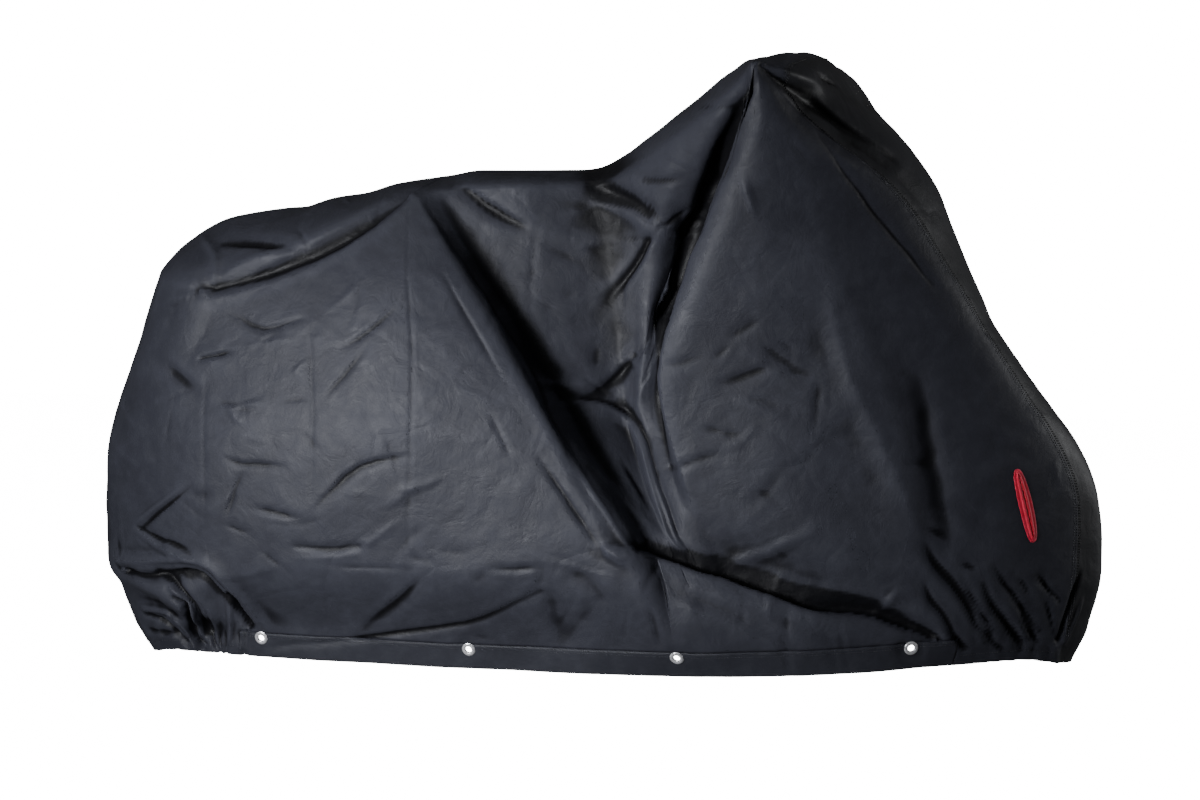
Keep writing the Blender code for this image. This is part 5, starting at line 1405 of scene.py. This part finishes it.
def seamLines(side):
    # rows of stitches along the band, the turned hem, the nose seam and the ridge
    grid = side["grid"]
    points, normals, seam, top = grid["points"], grid["normals"], grain["columns"], grain["bandRows"]
    first, last = stripColumns(side)
    proud = hem["bandProud"]

    def level(columns, row, lift=0.0):
        low = int(math.floor(row))
        mix = row - low
        line = points[columns, low] * (1.0 - mix) + points[columns, low + 1] * mix
        return line + lift * normals[columns, low], normals[columns, low]

    inner = slice(first + 1, last)
    rows = [level(inner, top - away, proud) for away in sewing["bandTop"]]
    rows += [level(inner, sewing["bandFoot"], proud), level(slice(2, first), sewing["hem"]),
             level(slice(last + 1, seam - 1), sewing["hem"])]
    for step in (-1, 1):
        for away in sewing["noseSeam"]:
            whole = int(away)
            mix = away - whole
            near, far = seam + step * whole, seam + step * (whole + 1)
            line = points[near, top:-6] * (1.0 - mix) + points[far, top:-6] * mix
            rows.append((line, normals[near, top:-6]))
    for away in sewing["ridge"]:
        row = points.shape[1] - 1 - away
        rows.append((points[3:seam - 2, row], normals[3:seam - 2, row]))
    return rows


def sewSeams():
    parts, faces, count = [], [], 0
    for side in sides.values():
        for line, normals in seamLines(side):
            made, marks = stitchRow(line, normals)
            parts.append(made)
            faces.append(marks + count)
            count += len(made)
    mesh = clothMesh("stitching", np.concatenate(parts), np.concatenate(faces), {})
    addPiece("stitching", mesh, finishes["thread"], "hem")
    print("stitching:", len(mesh.polygons), "triangles")


for hand, side in sides.items():
    layCloth(hand, side)
for hand, side in sides.items():
    sidePanel(hand, side)
    for label, (place, axis) in anchors(hand).items():
        eyeletRing(label, place, axis)
    hemBand(hand, side)
    lockSlotTape(hand, side)
nosePanel()
sewSeams()
print("cover made")


# the lights stand on the part's own axes, in watts, with their spread in degrees
studio = {
    "floor": (0.86, 0.86, 0.85), "floorPale": (0.88, 0.88, 0.88), "floorCloud": 1.2, "floorSize": 9.0,
    "floorGlow": 16.0, "floorBounce": 0.10,
    "sky": 17.0, "skyGlow": 0.06,
    "key": {"place": (-1.00, -1.95, -0.30), "target": (0.20, 0.0, -0.47), "size": (0.55, 0.55), "power": 13.0,
            "spread": 85.0, "color": (0.94, 0.955, 1.0)},
    "top": {"place": (-0.7, -0.9, 1.9), "target": (0.2, 0.0, 0.0), "size": (1.2, 1.2), "power": 8.0,
            "spread": 180.0, "color": (0.97, 0.98, 1.0)},
    "far": {"place": (0.2, 3.2, -0.40), "target": (0.5, 0.0, -0.45), "size": (1.6, 0.8), "power": 120.0,
            "spread": 180.0, "color": (1.0, 1.0, 1.0)},
    "front": {"place": (3.2, 0.8, 0.0), "target": (0.9, 0.0, -0.3), "size": (1.2, 1.2), "power": 30.0,
              "spread": 180.0, "color": (0.97, 0.98, 1.0)},
}


def addLight(name):
    setup = studio[name]
    data = bpy.data.lights.new(name, "AREA")
    data.shape = "RECTANGLE"
    data.size, data.size_y = setup["size"]
    data.energy = setup["power"]
    data.color = setup["color"]
    data.spread = math.radians(setup["spread"])
    light = bpy.data.objects.new(name, data)
    bpy.context.scene.collection.objects.link(light)
    light.location = setup["place"]
    sight = Vector(setup["target"]) - Vector(setup["place"])
    light.rotation_euler = sight.to_track_quat("-Z", "Y").to_euler()


def addFloor():
    half = studio["floorSize"] / 2.0
    mesh = bpy.data.meshes.new("floor")
    mesh.from_pydata([(-half, -half, groundLevel), (half, -half, groundLevel), (half, half, groundLevel),
                      (-half, half, groundLevel)], [], [(0, 1, 2, 3)])
    floor = bpy.data.objects.new("floor", mesh)
    bpy.context.scene.collection.objects.link(floor)
    made, tree, shader = newFinish("studio_floor", 0.8, specular=0.2)
    place = addNode(tree, "ShaderNodeTexCoord").outputs["Object"]
    cloud = noise(tree, place, studio["floorCloud"], 2.0)["Fac"]
    base = mixed(tree, cloud, (*studio["floor"], 1.0), (*studio["floorPale"], 1.0))
    seen = addNode(tree, "ShaderNodeLightPath").outputs["Is Camera Ray"]
    dull = studio["floorBounce"]
    tree.links.new(mixed(tree, seen, (dull, dull, dull, 1.0), base), shader.inputs["Base Color"])
    shader.inputs["Emission Color"].default_value = (1.0, 1.0, 1.0, 1.0)
    tree.links.new(product(tree, seen, studio["floorGlow"]), shader.inputs["Emission Strength"])
    mesh.materials.append(made)


def lightWorld():
    # a white studio for the camera, and a dim glow for everything that it lights
    world = bpy.data.worlds.new("studio")
    bpy.context.scene.world = world
    world.use_nodes = True
    tree = world.node_tree
    back = tree.nodes["Background"]
    back.inputs["Color"].default_value = (1.0, 1.0, 1.0, 1.0)
    seen = addNode(tree, "ShaderNodeLightPath").outputs["Is Camera Ray"]
    strength = spread(tree, seen, 0.0, 1.0, studio["skyGlow"], studio["sky"])
    tree.links.new(strength, back.inputs["Strength"])


for name in ("key", "top", "far", "front"):
    addLight(name)
addFloor()
lightWorld()
print("studio lit")
